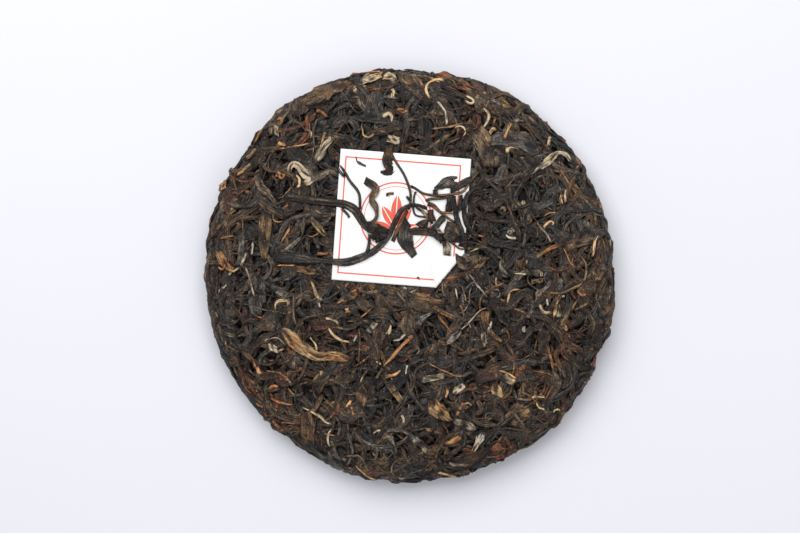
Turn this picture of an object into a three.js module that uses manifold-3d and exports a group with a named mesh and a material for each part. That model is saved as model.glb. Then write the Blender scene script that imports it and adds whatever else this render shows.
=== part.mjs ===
// A pressed cake of raw pu-erh tea: a round, domed disc of whole twisted leaves, with a small
// square paper ticket pressed in its face. The strands that cross the ticket hold it in place,
// and one of its corners is folded over. The back is flat, with the hollow that the knot of the
// pressing cloth leaves in its middle.
//
// Millimetres, Z up. The cake lies on its back. The origin is the middle of its underside.

import * as THREE from 'three';
import { mergeVertices } from 'three/addons/utils/BufferGeometryUtils.js';
import Module from 'manifold-3d';

const wasm = await Module();
wasm.setup();

// The cake's body, without the leaves that stand proud of it. Its outline is a little oval: the
// rim reaches out by a share of its radius along one turn, and in by as much across it
const BODY_RADIUS = 99;
const BODY_HEIGHT = 23.2;
const RIM_HEIGHT = 10.2;
const BACK_LEVEL = 0.9;
const HOLLOW_RADIUS = 24;
const HOLLOW_DEPTH = 7.6;
const OVAL_SHARE = 0.011;
const OVAL_TURN = THREE.MathUtils.degToRad(120);
const BODY_SECTORS = 40;
const PROFILE_STEPS = 17;
const RIM_STEPS = 240;
const BUMP_HEIGHT = 0.45;
const BUMP_WAVES = 7;
const BUMP_LENGTH_MIN = 13;
const BUMP_LENGTH_MAX = 30;

// The paper ticket: its middle and turn on the face, and the corner that is folded over
const TICKET_SIDE = 63;
const TICKET_MIDDLE = new THREE.Vector2(-2.8, 27.4);
const TICKET_TURN = THREE.MathUtils.degToRad(-4.2);
const TICKET_CELLS = 8;
const PAPER_THICKNESS = 0.3;
const PAPER_GAP = 0.35;
const FOLD_ALONG_BOTTOM = 12;
const FOLD_ALONG_SIDE = 17;
const FLAP_RISE = 1.1;
const FOLD_ROLL = 0.2;

// Leaves: how deep their undersides sink into the body, how far they stay from the paper, and
// how a strand over the paper comes down beyond its edge
const SINK = [0.45, 0.95];
const PAPER_CLEARANCE = 0.45;
const BRIDGE_MARGIN = 5;
const BRIDGE_RAMP = 8;
const TICKET_MARGIN = 1.2;
const RING_SPACING = 9;
const FEWEST_RINGS = 5;
const TIP_FULLNESS = 0.45;
const SEAM_TOLERANCE = 0.02;

// Kinds of leaf: the sides of their section, and the ranges of their sizes
const STRIP = { sides: 5, length: [16, 34], width: [2.8, 5.4], thickness: [1.8, 2.6] };
const STEM = { sides: 4, length: [12, 26], width: [1.5, 2.1], thickness: [1.6, 2] };
const RIM_STRIP = { sides: 5, length: [20, 38], width: [3, 5.6], thickness: [2, 3] };
const BACK_STRIP = { sides: 5, length: [18, 34], width: [3.6, 7], thickness: [2.1, 2.3] };
const STEM_SHARE = 0.25;

// How many leaves lie on each side of the cake, and how they are laid out there
const FACE_LEAVES = 60;
const FACE_REACH = 0.93 * BODY_RADIUS;
const TURNED_BEYOND = 0.8 * BODY_RADIUS;
const RIM_LEAVES = 30;
const RIM_ROWS = [-3.7, 1.5, 6.7];
const BACK_LEAVES = 13;
const BACK_RINGS = [76, 76, 48];
const RING_SCATTER = 6;
const ROW_SCATTER = 1.2;
const PLACE_SCATTER = 0.3;
const RIM_SLANT = 0.28;
const MOST_TWIST = 0.6;

// Three broad leaves on the back, pressed flat, on which the cake rests
const FOOT_LEAVES = 3;
const FOOT_RADIUS = 62;
const FOOT_LENGTH = 26;
const FOOT_WIDTH = 9;
const FOOT_THICKNESS = 2.6;
const RANDOM_SEED = 357;

// The strands over the ticket, as seen from above: the points that each one passes, its width
// and its thickness
const CROSSING_LEAVES = [
  {
    route: [[-62.5, 36], [-42.5, 35.5], [-23.5, 31.5], [-13.5, 21], [-9, 20]],
    width: 4.2,
    thickness: 1.8,
  },
  {
    route: [
      [-63.5, 8], [-43.5, 7], [-29.5, 6.5], [-16.5, 11],
      [-3.5, 28.5], [2.5, 34], [11.5, 32.5],
    ],
    width: 3.4,
    thickness: 1.7,
  },
  {
    route: [[-20, 45.5], [-14.5, 42.5], [-16.5, 36], [-13.5, 31], [-17.5, 25]],
    width: 3.2,
    thickness: 1.5,
  },
  {
    route: [[-4.5, 68], [-6.5, 60], [-9, 55.5], [-7.5, 51]],
    width: 5,
    thickness: 1.5,
  },
  {
    route: [[-0.5, 29], [-2, 22], [0, 16.5], [4.5, 9.5]],
    width: 7.5,
    thickness: 1.6,
  },
  {
    route: [[11.5, 42], [19.5, 45.5], [27, 46.5], [41.5, 50]],
    width: 6.2,
    thickness: 1.6,
  },
  {
    route: [[21.5, 41], [21, 33.5], [21, 27]],
    width: 5,
    thickness: 1.5,
  },
  {
    route: [[-1.5, 21], [7, 22.5], [13.5, 23.5], [19.5, 18.5], [27, 17.5], [42.5, 16]],
    width: 4.8,
    thickness: 1.8,
  },
  {
    route: [[16.5, 26], [23.5, 21], [26.5, 16]],
    width: 8,
    thickness: 1.6,
  },
  {
    route: [[31.5, 51], [28, 38.5], [28, 28.5], [29, 16.5], [34.5, 3]],
    width: 4,
    thickness: 1.8,
  },
];
const CROSSING_STEMS = [
  {
    route: [[-41.5, 65], [-35, 55], [-22.5, 39], [-21.5, 27]],
    width: 1.5,
    thickness: 1.4,
  },
  {
    route: [[-16.5, 71], [-10, 59.5], [-2, 50.5], [2, 42], [-2.5, 25]],
    width: 1.5,
    thickness: 1.4,
  },
  {
    route: [[0.5, 35], [-2.5, 25.5], [-6.5, 16]],
    width: 1.9,
    thickness: 1.5,
  },
  {
    route: [[1.5, 44], [10.5, 39.5], [19.5, 39], [27.5, 41], [41.5, 48]],
    width: 1.5,
    thickness: 1.4,
  },
  {
    route: [[10.5, 36], [16.5, 31], [24, 25.5], [39.5, 16]],
    width: 1.6,
    thickness: 1.4,
  },
  {
    route: [[19.5, 19], [24.5, 14.5], [30, 13], [43.5, 14]],
    width: 1.4,
    thickness: 1.4,
  },
];

// The broad flat leaves that stand out on the face: middle, length, width and heading in degrees
const BROAD_LEAVES = [
  { middle: [-40, 86], length: 26, width: 10, heading: 12 },
  { middle: [-14, 94], length: 18, width: 6, heading: 20 },
  { middle: [36, 62], length: 23, width: 11, heading: -62 },
  { middle: [50, 64], length: 26, width: 5, heading: 8 },
  { middle: [-68, 20], length: 27, width: 9, heading: 78 },
  { middle: [-88, 8], length: 16, width: 8, heading: 60 },
  { middle: [-46, -34], length: 36, width: 8, heading: -24 },
  { middle: [14, -64], length: 16, width: 8, heading: -38 },
  { middle: [42, -54], length: 13, width: 6, heading: 30 },
  { middle: [78, 26], length: 34, width: 5, heading: -50 },
];

// A seeded random number generator, the same on every run
function randomNumbers(seed) {
  let state = seed;
  return (low = 0, high = 1) => {
    state = (state + 0x6D2B79F5) | 0;
    let mixed = Math.imul(state ^ (state >>> 15), 1 | state);
    mixed = (mixed + Math.imul(mixed ^ (mixed >>> 7), 61 | mixed)) ^ mixed;
    const unit = ((mixed ^ (mixed >>> 14)) >>> 0) / 4294967296;
    return low + (high - low) * unit;
  };
}

const random = randomNumbers(RANDOM_SEED);

function scatter(most) {
  return random(-most, most);
}

// Half of the body's section, from the middle of the face, round the rim, to the middle of the
// hollow: radius and height
const profile = new THREE.SplineCurve([
  [0, BODY_HEIGHT],
  [0.36 * BODY_RADIUS, BODY_HEIGHT - 0.5],
  [0.64 * BODY_RADIUS, BODY_HEIGHT - 1.9],
  [0.84 * BODY_RADIUS, BODY_HEIGHT - 4.6],
  [0.95 * BODY_RADIUS, BODY_HEIGHT - 8.2],
  [BODY_RADIUS, RIM_HEIGHT],
  [0.965 * BODY_RADIUS, 4.4],
  [0.88 * BODY_RADIUS, 1.4],
  [0.70 * BODY_RADIUS, BACK_LEVEL],
  [HOLLOW_RADIUS + 8, BACK_LEVEL],
  [HOLLOW_RADIUS, BACK_LEVEL + 1.8],
  [0.55 * HOLLOW_RADIUS, BACK_LEVEL + 0.85 * HOLLOW_DEPTH],
  [0, BACK_LEVEL + HOLLOW_DEPTH],
].map(([radius, height]) => new THREE.Vector2(radius, height)));
const profileLength = profile.getLength();

// The distance along the section at which the rim is widest
const rimDistance = profile.getLengths(RIM_STEPS)
  .reduce((best, length, step) => {
    const radius = profile.getPoint(step / RIM_STEPS).x;
    return radius > best.radius ? { radius, length } : best;
  }, { radius: 0, length: 0 }).length;

// The factor by which the oval outline draws out a place at a radius and an angle
function ovalStretch(radius, angle) {
  return 1 + OVAL_SHARE * (radius / BODY_RADIUS) ** 2 * Math.cos(2 * (angle - OVAL_TURN));
}

// The place on the body at a distance along its section from the middle of the face, at an angle
// round it, and lifted off its surface
function onBody(distance, angle, lift) {
  const share = THREE.MathUtils.clamp(distance / profileLength, 0, 1);
  const place = profile.getPointAt(share);
  const along = profile.getTangentAt(share);
  const flatRadius = place.x - along.y * lift;
  const radius = flatRadius * ovalStretch(flatRadius, angle);
  const height = place.y + along.x * lift;
  return new THREE.Vector3(radius * Math.cos(angle), radius * Math.sin(angle), height);
}

// Three ways to lay a flat drawing (u, v, lift) on the body: from above on the face, from
// below on the back, and wrapped round the rim
function layOnFace(u, v, lift) {
  return onBody(Math.hypot(u, v), Math.atan2(v, u), lift);
}

function layOnBack(u, v, lift) {
  return onBody(profileLength - Math.hypot(u, v), Math.atan2(-v, u), lift);
}

function layOnRim(u, v, lift) {
  return onBody(rimDistance - v, u / BODY_RADIUS, lift);
}

function moveVertices(geometry, move) {
  const place = geometry.getAttribute('position');
  for (let i = 0; i < place.count; i += 1) {
    const moved = move(place.getX(i), place.getY(i), place.getZ(i));
    place.setXYZ(i, moved.x, moved.y, moved.z);
  }
  return geometry;
}

// A closed solid from a geometry whose coinciding vertices are merged first
function weld(geometry) {
  geometry.deleteAttribute('normal');
  geometry.deleteAttribute('uv');
  const welded = mergeVertices(geometry, 1e-5);
  const corners = welded.getIndex().array;
  const kept = [];
  for (let i = 0; i < corners.length; i += 3) {
    const [a, b, c] = [corners[i], corners[i + 1], corners[i + 2]];
    if (a !== b && b !== c && c !== a) {
      kept.push(a, b, c);
    }
  }
  welded.setIndex(kept);
  return welded;
}

function toSolid(geometry) {
  const mesh = new wasm.Mesh({
    numProp: 3,
    vertProperties: new Float32Array(geometry.getAttribute('position').array),
    triVerts: new Uint32Array(geometry.getIndex().array),
  });
  return new wasm.Manifold(mesh);
}

function toGeometry(solid) {
  const mesh = solid.getMesh();
  const geometry = new THREE.BufferGeometry();
  geometry.setAttribute('position', new THREE.BufferAttribute(mesh.vertProperties, 3));
  geometry.setIndex(new THREE.BufferAttribute(mesh.triVerts, 1));
  geometry.computeVertexNormals();
  return geometry;
}

// A place on the face in the ticket's own axes, measured from the ticket's middle
function inTicket(u, v) {
  return new THREE.Vector2(u, v).sub(TICKET_MIDDLE).rotateAround(new THREE.Vector2(), -TICKET_TURN);
}

function fromTicket(x, y) {
  return new THREE.Vector2(x, y).rotateAround(new THREE.Vector2(), TICKET_TURN).add(TICKET_MIDDLE);
}

// How far a place lies outside the ticket's edges; 0 on the ticket
function beyondTicket(u, v) {
  const place = inTicket(u, v);
  const overX = Math.max(0, Math.abs(place.x) - TICKET_SIDE / 2);
  const overY = Math.max(0, Math.abs(place.y) - TICKET_SIDE / 2);
  return Math.hypot(overX, overY);
}

// The body's bumps, a sum of seeded waves that fades out beneath the ticket
const bumps = Array.from({ length: BUMP_WAVES }, () => {
  const heading = new THREE.Vector3(scatter(1), scatter(1), scatter(1)).normalize();
  const pace = 2 * Math.PI / random(BUMP_LENGTH_MIN, BUMP_LENGTH_MAX);
  return { wave: heading.multiplyScalar(pace), phase: random(0, 2 * Math.PI) };
});

function bumpAt(place) {
  const sum = bumps.reduce((total, { wave, phase }) => total + Math.sin(wave.dot(place) + phase), 0);
  const onFace = place.z > RIM_HEIGHT;
  const fade = onFace ? THREE.MathUtils.smoothstep(beyondTicket(place.x, place.y), 3, 12) : 1;
  return fade * BUMP_HEIGHT * sum / Math.sqrt(BUMP_WAVES);
}

function makeBody() {
  const outline = profile.getPoints(PROFILE_STEPS).reverse();
  outline[0].x = 0;
  outline[outline.length - 1].x = 0;
  const turned = new THREE.LatheGeometry(outline, BODY_SECTORS);
  turned.rotateX(Math.PI / 2);
  const body = weld(turned);
  body.computeVertexNormals();
  const normal = body.getAttribute('normal');
  const place = body.getAttribute('position');
  const here = new THREE.Vector3();
  const outward = new THREE.Vector3();
  for (let i = 0; i < place.count; i += 1) {
    here.fromBufferAttribute(place, i);
    outward.fromBufferAttribute(normal, i);
    here.addScaledVector(outward, bumpAt(here));
    const stretch = ovalStretch(Math.hypot(here.x, here.y), Math.atan2(here.y, here.x));
    place.setXYZ(i, here.x * stretch, here.y * stretch, here.z);
  }
  return toSolid(body);
}

// A leaf drawn flat along a route: a closed spindle with blunt tips, wider than it is thick
function flatLeaf(route, shape) {
  const { width, thickness, liftAt, sides, twist = 0, wave = 0.12, phase = 0 } = shape;
  const steps = Math.max(FEWEST_RINGS, Math.round(route.getLength() / RING_SPACING));
  const leaf = new THREE.SphereGeometry(1, sides, steps);
  return moveVertices(leaf, (x, y, z) => {
    const along = Math.acos(THREE.MathUtils.clamp(y, -1, 1)) / Math.PI;
    const girth = Math.min(1, Math.hypot(x, z)) ** TIP_FULLNESS;
    const around = Math.atan2(z, x) - Math.PI / 2 + twist * (along - 0.5);
    const swell = girth * (1 + wave * Math.sin(9 * along + phase));
    const middle = route.getPoint(along);
    const ahead = route.getTangent(along);
    const sideways = Math.cos(around) * swell * width / 2;
    const upward = Math.sin(around) * girth * thickness / 2;
    const u = middle.x - ahead.y * sideways;
    const v = middle.y + ahead.x * sideways;
    return new THREE.Vector3(u, v, liftAt(middle.x, middle.y) + upward);
  });
}

function makeLeaf(route, shape, lay) {
  const leaf = moveVertices(flatLeaf(route, shape), lay);
  return toSolid(weld(leaf));
}

function routeThrough(points) {
  return new THREE.CatmullRomCurve3(points.map(([u, v]) => new THREE.Vector3(u, v, 0)));
}

// A gently bent or S-shaped route round a middle, at a heading
function bentRoute(middle, heading, length, bend, sway) {
  const points = [-0.5, -0.17, 0.17, 0.5].map((share) => {
    const across = length * (bend * (share * share - 0.1) + sway * Math.sin(5 * share));
    const point = new THREE.Vector2(length * share, across);
    point.rotateAround(new THREE.Vector2(), heading).add(middle);
    return point.toArray();
  });
  return routeThrough(points);
}

// Leaves that cross the ticket run clear of its paper, and dive into the body on either side
function bridgeLift(thickness) {
  const high = PAPER_GAP + PAPER_THICKNESS + PAPER_CLEARANCE + thickness / 2;
  return (u, v) => {
    const beyond = beyondTicket(u, v);
    const down = THREE.MathUtils.smoothstep(beyond, BRIDGE_MARGIN, BRIDGE_MARGIN + BRIDGE_RAMP);
    return THREE.MathUtils.lerp(high, 0, down);
  };
}

function crossingLeaves() {
  const leaf = ({ route, width, thickness }, sides) => {
    const shape = { width, thickness, sides, liftAt: bridgeLift(thickness) };
    return makeLeaf(routeThrough(route), shape, layOnFace);
  };
  return [
    ...CROSSING_LEAVES.map((entry) => leaf(entry, STRIP.sides)),
    ...CROSSING_STEMS.map((entry) => leaf(entry, STEM.sides)),
  ];
}

// The height of the middle of a leaf whose underside is sunk in the body
function sunkLift(thickness) {
  const lift = thickness / 2 - random(...SINK);
  return () => lift;
}

// The sizes of one leaf of a kind, drawn from the kind's ranges
function drawShape(kind) {
  const thickness = random(...kind.thickness);
  return {
    sides: kind.sides,
    width: random(...kind.width),
    thickness,
    liftAt: sunkLift(thickness),
    twist: scatter(MOST_TWIST),
    phase: random(0, 2 * Math.PI),
  };
}

// A point at a radius and an angle
function polar(radius, angle) {
  return new THREE.Vector2(radius, 0).rotateAround(new THREE.Vector2(), angle);
}

function broadLeaves() {
  return BROAD_LEAVES.map(({ middle, length, width, heading }) => {
    const angle = THREE.MathUtils.degToRad(heading);
    const route = bentRoute(new THREE.Vector2(...middle), angle, length, scatter(0.2), 0);
    const shape = { ...drawShape(STRIP), width, twist: 0 };
    return makeLeaf(route, shape, layOnFace);
  });
}

function clearOfTicket(route, halfWidth) {
  return route.getPoints(10).every(({ x, y }) => beyondTicket(x, y) > halfWidth + TICKET_MARGIN);
}

// Leaves strewn evenly over the face; one that would cross the ticket is turned aside or left out
function faceLeaves() {
  const goldenAngle = Math.PI * (3 - Math.sqrt(5));
  const turns = [0, 0.5, -0.5, 1, -1, 1.5];
  const leaves = [];
  for (let i = 0; i < FACE_LEAVES; i += 1) {
    const radius = FACE_REACH * Math.sqrt((i + 0.5) / FACE_LEAVES);
    const middle = polar(radius, i * goldenAngle);
    const kind = random() < STEM_SHARE ? STEM : STRIP;
    const shape = drawShape(kind);
    const length = random(...kind.length);
    const bend = scatter(0.5);
    const sway = scatter(0.06);
    const alongRim = middle.angle() + Math.PI / 2 + scatter(0.5);
    const anyWay = random(0, Math.PI);
    const heading = radius > TURNED_BEYOND ? alongRim : anyWay;
    const routes = turns.map((turn) => bentRoute(middle, heading + turn, length, bend, sway));
    const route = routes.find((candidate) => clearOfTicket(candidate, shape.width / 2));
    if (route) {
      leaves.push(makeLeaf(route, shape, layOnFace));
    }
  }
  return leaves;
}

// Leaves that run along the rim, in three staggered rows
function rimLeaves() {
  return Array.from({ length: RIM_LEAVES }, (_, i) => {
    const middle = new THREE.Vector2(
      2 * Math.PI * BODY_RADIUS * (i + scatter(PLACE_SCATTER)) / RIM_LEAVES,
      RIM_ROWS[i % RIM_ROWS.length] + scatter(ROW_SCATTER),
    );
    const length = random(...RIM_STRIP.length);
    const route = bentRoute(middle, scatter(RIM_SLANT), length, scatter(0.15), 0);
    return makeLeaf(route, drawShape(RIM_STRIP), layOnRim);
  });
}

// Leaves pressed flat on the back, in rings round the hollow
function backLeaves() {
  return Array.from({ length: BACK_LEAVES }, (_, i) => {
    const radius = BACK_RINGS[i % BACK_RINGS.length] + scatter(RING_SCATTER);
    const middle = polar(radius, 2 * Math.PI * (i + scatter(PLACE_SCATTER)) / BACK_LEAVES);
    const length = random(...BACK_STRIP.length);
    const route = bentRoute(middle, random(0, Math.PI), length, scatter(0.4), 0);
    return makeLeaf(route, drawShape(BACK_STRIP), layOnBack);
  });
}

function footLeaves() {
  return Array.from({ length: FOOT_LEAVES }, (_, i) => {
    const angle = Math.PI / 2 + 2 * Math.PI * i / FOOT_LEAVES;
    const route = bentRoute(polar(FOOT_RADIUS, angle), angle + Math.PI / 2, FOOT_LENGTH, 0.15, 0);
    const shape = {
      ...drawShape(BACK_STRIP), width: FOOT_WIDTH, thickness: FOOT_THICKNESS, twist: 0,
    };
    return makeLeaf(route, shape, layOnBack);
  });
}

// One solid from many; what joining leaves loose or sealed inside is dropped, and the underside
// is cut flat
function makeCake() {
  const leaves = [
    ...crossingLeaves(),
    ...broadLeaves(),
    ...faceLeaves(),
    ...rimLeaves(),
    ...backLeaves(),
    ...footLeaves(),
  ];
  const joined = leaves.reduce((cake, leaf) => cake.add(leaf), makeBody());
  const room = new THREE.BoxGeometry(3 * BODY_RADIUS, 3 * BODY_RADIUS, 2 * BODY_HEIGHT);
  room.translate(0, 0, BODY_HEIGHT);
  const cut = joined.intersect(toSolid(weld(room)));
  const pieces = cut.simplify(SEAM_TOLERANCE).decompose();
  const largest = pieces.reduce((a, b) => (a.volume() > b.volume() ? a : b));
  const tea = new THREE.MeshStandardMaterial({ color: 0x43382f, roughness: 0.7, metalness: 0 });
  const cake = new THREE.Mesh(toGeometry(largest), tea);
  cake.name = 'tea_cake';
  return cake;
}

// The ticket, laid on the face: the sheet without its corner, and the corner folded back over it
function makeTicket() {
  const half = TICKET_SIDE / 2;
  const level = PAPER_GAP + PAPER_THICKNESS / 2;
  const sheet = new THREE.BoxGeometry(
    TICKET_SIDE, TICKET_SIDE, PAPER_THICKNESS, TICKET_CELLS, TICKET_CELLS, 1,
  );
  const foldStart = new THREE.Vector2(half - FOLD_ALONG_BOTTOM, -half);
  const foldEnd = new THREE.Vector2(half, -half + FOLD_ALONG_SIDE);
  const fold = foldEnd.clone().sub(foldStart);
  const corner = new THREE.BoxGeometry(4 * TICKET_SIDE, TICKET_SIDE, TICKET_SIDE);
  corner.translate(0, -half, 0);
  corner.rotateZ(fold.angle());
  corner.translate(foldStart.x, foldStart.y, 0);
  const kept = toSolid(weld(sheet)).subtract(toSolid(weld(corner)));

  const cornerPoint = new THREE.Vector2(half, -half);
  const direction = fold.clone().normalize();
  const toCorner = cornerPoint.clone().sub(foldStart);
  const foot = foldStart.clone().addScaledVector(direction, toCorner.dot(direction));
  const tip = foot.clone().multiplyScalar(2).sub(cornerPoint);
  const reach = tip.distanceTo(foot);
  const outward = new THREE.Vector2(direction.y, -direction.x).multiplyScalar(FOLD_ROLL);
  const hinge = [foldStart, foldEnd].map((end) => end.clone().add(outward));
  const outline = new THREE.Shape([...hinge, tip]);
  const flap = new THREE.ExtrudeGeometry(outline, { depth: PAPER_THICKNESS, bevelEnabled: false });
  moveVertices(flap, (x, y, z) => {
    const inward = direction.cross(new THREE.Vector2(x, y).sub(foldStart)) / reach;
    return new THREE.Vector3(x, y, z + FLAP_RISE * Math.max(0, inward));
  });

  const lay = (x, y, z) => {
    const place = fromTicket(x, y);
    return layOnFace(place.x, place.y, level + z);
  };
  const flatSheet = toGeometry(kept);
  const laidSheet = toSolid(weld(moveVertices(flatSheet, lay)));
  const laidFlap = toSolid(weld(moveVertices(flap, lay)));
  const paper = new THREE.MeshStandardMaterial({ color: 0xf6f4f1, roughness: 0.85, metalness: 0 });
  const folded = laidSheet.add(laidFlap).simplify(SEAM_TOLERANCE);
  const ticket = new THREE.Mesh(toGeometry(folded), paper);
  ticket.name = 'paper_ticket';
  return ticket;
}

const cake = makeCake();
const ticket = makeTicket();
const pressedCake = new THREE.Group();
pressedCake.add(cake, ticket);

// The leaves reach a little further on one side, so the middle of the whole is put at the origin
const whole = new THREE.Box3().setFromObject(pressedCake);
const centre = whole.getCenter(new THREE.Vector3());
cake.position.set(-centre.x, -centre.y, 0);
ticket.position.copy(cake.position);

export default pressedCake;
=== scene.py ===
import math

import bpy
import numpy as np
from mathutils import Matrix, Vector


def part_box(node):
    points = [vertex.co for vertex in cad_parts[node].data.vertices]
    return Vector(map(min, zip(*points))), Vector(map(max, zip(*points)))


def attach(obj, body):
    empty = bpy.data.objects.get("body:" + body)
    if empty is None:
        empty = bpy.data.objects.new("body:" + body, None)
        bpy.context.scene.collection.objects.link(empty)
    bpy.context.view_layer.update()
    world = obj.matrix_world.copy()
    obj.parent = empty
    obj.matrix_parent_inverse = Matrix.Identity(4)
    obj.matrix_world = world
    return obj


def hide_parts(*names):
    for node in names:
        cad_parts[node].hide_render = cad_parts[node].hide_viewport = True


# A pressed cake of raw pu-erh tea, made leaf by leaf round the cake's body, with the paper
# ticket that its strands hold down. Sizes are millimetres until a mesh is made.

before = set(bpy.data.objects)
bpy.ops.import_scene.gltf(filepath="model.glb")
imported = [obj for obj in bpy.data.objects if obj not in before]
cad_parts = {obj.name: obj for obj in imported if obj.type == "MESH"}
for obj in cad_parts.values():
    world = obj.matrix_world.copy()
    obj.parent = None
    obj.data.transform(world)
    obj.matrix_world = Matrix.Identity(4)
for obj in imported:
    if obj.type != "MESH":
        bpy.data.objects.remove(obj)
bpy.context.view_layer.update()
rng = np.random.default_rng(357)
MM = 0.001
TAU = 2 * math.pi

# The body's half section, as in the CAD: radius and height, from the middle of the face round
# the rim to the middle of the hollow on the back
BODY_RADIUS = 99
BODY_HEIGHT = 23.2
RIM_HEIGHT = 10.2
BACK_LEVEL = 0.9
HOLLOW_RADIUS = 24
HOLLOW_DEPTH = 7.6
PROFILE = [
    (0, BODY_HEIGHT),
    (0.36 * BODY_RADIUS, BODY_HEIGHT - 0.5),
    (0.64 * BODY_RADIUS, BODY_HEIGHT - 1.9),
    (0.84 * BODY_RADIUS, BODY_HEIGHT - 4.6),
    (0.95 * BODY_RADIUS, BODY_HEIGHT - 8.2),
    (BODY_RADIUS, RIM_HEIGHT),
    (0.965 * BODY_RADIUS, 4.4),
    (0.88 * BODY_RADIUS, 1.4),
    (0.70 * BODY_RADIUS, BACK_LEVEL),
    (HOLLOW_RADIUS + 8, BACK_LEVEL),
    (HOLLOW_RADIUS, BACK_LEVEL + 1.8),
    (0.55 * HOLLOW_RADIUS, BACK_LEVEL + 0.85 * HOLLOW_DEPTH),
    (0, BACK_LEVEL + HOLLOW_DEPTH),
]

# Pressed by hand, the cake is slightly longer one way than the other, as in the CAD
OVAL_SHARE = 0.011
OVAL_TURN = math.radians(120)

# The ticket, placed as in the CAD, whose sheet is a millimetre larger
CAD_TICKET_SIDE = 63
TICKET_SIDE = 62
TICKET_MIDDLE = (-2.8, 27.4)
TICKET_TURN = math.radians(-4.2)
PAPER_LIFT = 0.5
PAPER_THICKNESS = 0.2
PAPER_CELLS = 84
FOLD_ALONG_BOTTOM = 12
FOLD_ALONG_SIDE = 17

# How the leaves are laid
CORE_LIFT = -2.6
UNDER_PAPER = -0.1
GRID_CELL = 0.6
GRID_REACH = 132
SAMPLE = 0.6
PRESSED_BELOW = 0.6


def spline(points, steps):
    """A Catmull-Rom curve through the points, with so many steps between each two."""
    points = np.asarray(points, float)
    ends = np.vstack([points[:1], points, points[-1:]])
    t = np.linspace(0, 1, steps, endpoint=False)[:, None]
    spans = []
    for a, b, c, d in zip(ends[:-3], ends[1:-2], ends[2:-1], ends[3:]):
        spans.append(0.5 * (
            2 * b + (c - a) * t + (2 * a - 5 * b + 4 * c - d) * t ** 2
            + (3 * b - a - 3 * c + d) * t ** 3))
    return np.vstack(spans + [points[-1:]])


def distances(points):
    """How far along a line each of its points lies, by the first two columns."""
    steps = np.linalg.norm(np.diff(points[:, :2], axis=0), axis=1)
    return np.concatenate([[0], np.cumsum(steps)])


def resample(points, count):
    along = distances(points)
    where = np.linspace(0, along[-1], count)
    return np.stack([np.interp(where, along, column) for column in points.T], axis=1)


def smoothstep(value, low, high):
    share = np.clip((value - low) / (high - low), 0, 1)
    return share * share * (3 - 2 * share)


def smoothed(values, width):
    """A moving mean over an odd number of neighbours, with the ends held."""
    padded = np.pad(values, width // 2, mode="edge")
    return np.convolve(padded, np.ones(width) / width, mode="valid")


section = resample(spline(PROFILE, 60), 1200)
section_s = distances(section)
SECTION_LENGTH = section_s[-1]
section_ahead = np.gradient(section, section_s, axis=0)
section_ahead /= np.linalg.norm(section_ahead, axis=1)[:, None]
RIM_S = section_s[np.argmax(section[:, 0])]


def unmoved_point(s, angle, lift):
    """The place at a distance s along the section, at an angle, lifted off the body."""
    ahead_r = np.interp(s, section_s, section_ahead[:, 0])
    ahead_z = np.interp(s, section_s, section_ahead[:, 1])
    radius = np.interp(s, section_s, section[:, 0]) - ahead_z * lift
    height = np.interp(s, section_s, section[:, 1]) + ahead_r * lift
    stretch = OVAL_SHARE * (radius / BODY_RADIUS) ** 2 * np.cos(2 * (angle - OVAL_TURN))
    radius = radius * (1 + stretch)
    return np.stack([radius * np.cos(angle), radius * np.sin(angle), height], axis=-1)


def on_face(u, v):
    return np.hypot(u, v), np.arctan2(v, u)


def on_back(u, v):
    return SECTION_LENGTH - np.hypot(u, v), np.arctan2(-v, u)


def on_rim(u, v):
    return RIM_S - v, u / BODY_RADIUS


CHARTS = [on_face, on_rim, on_back]
FACE, RIM, BACK = range(3)


def in_ticket(u, v):
    """A place on the face in the ticket's own axes, from its middle."""
    x, y = u - TICKET_MIDDLE[0], v - TICKET_MIDDLE[1]
    c, s = math.cos(TICKET_TURN), math.sin(TICKET_TURN)
    return x * c + y * s, y * c - x * s


def from_ticket(x, y):
    c, s = math.cos(TICKET_TURN), math.sin(TICKET_TURN)
    return x * c - y * s + TICKET_MIDDLE[0], x * s + y * c + TICKET_MIDDLE[1]


def beyond_ticket(u, v):
    """How far a place lies outside the ticket; negative inside it."""
    x, y = in_ticket(u, v)
    dx, dy = np.abs(x) - TICKET_SIDE / 2, np.abs(y) - TICKET_SIDE / 2
    outside = np.hypot(np.maximum(dx, 0), np.maximum(dy, 0))
    return outside + np.minimum(np.maximum(dx, dy), 0)


def find_shift():
    """How far the CAD stands from the body's own axis, read off the ticket's box."""
    low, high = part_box("paper_ticket")
    half = CAD_TICKET_SIDE / 2
    left = unmoved_point(*on_face(*from_ticket(-half, -half)), PAPER_LIFT)
    top = unmoved_point(*on_face(*from_ticket(-half, half)), PAPER_LIFT)
    return np.array([low[0] / MM - left[0], high[1] / MM - top[1], 0])


SHIFT = find_shift()


def body_point(s, angle, lift):
    return unmoved_point(s, angle, lift) + SHIFT


class Relief:
    """How high the leaves laid so far stand off the body, on a round chart of each side."""

    def __init__(self):
        self.size = 2 * int(GRID_REACH / GRID_CELL) + 1
        self.grid = np.full((2, self.size, self.size), CORE_LIFT)

    def cells(self, s, angle, side):
        reach = s if side == 0 else SECTION_LENGTH - s
        half = self.size // 2
        column = np.rint(reach * np.cos(angle) / GRID_CELL).astype(int) + half
        row = np.rint(reach * np.sin(angle) / GRID_CELL).astype(int) + half
        return np.clip(row, 0, self.size - 1), np.clip(column, 0, self.size - 1)

    def read(self, s, angle):
        side = 0 if s.mean() < SECTION_LENGTH / 2 else 1
        row, column = self.cells(s, angle, side)
        return self.grid[side, row, column]

    def stamp(self, s, angle, height):
        for side in (0, 1):
            row, column = self.cells(s, angle, side)
            np.maximum.at(self.grid[side], (row, column), height)


relief = Relief()


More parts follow.
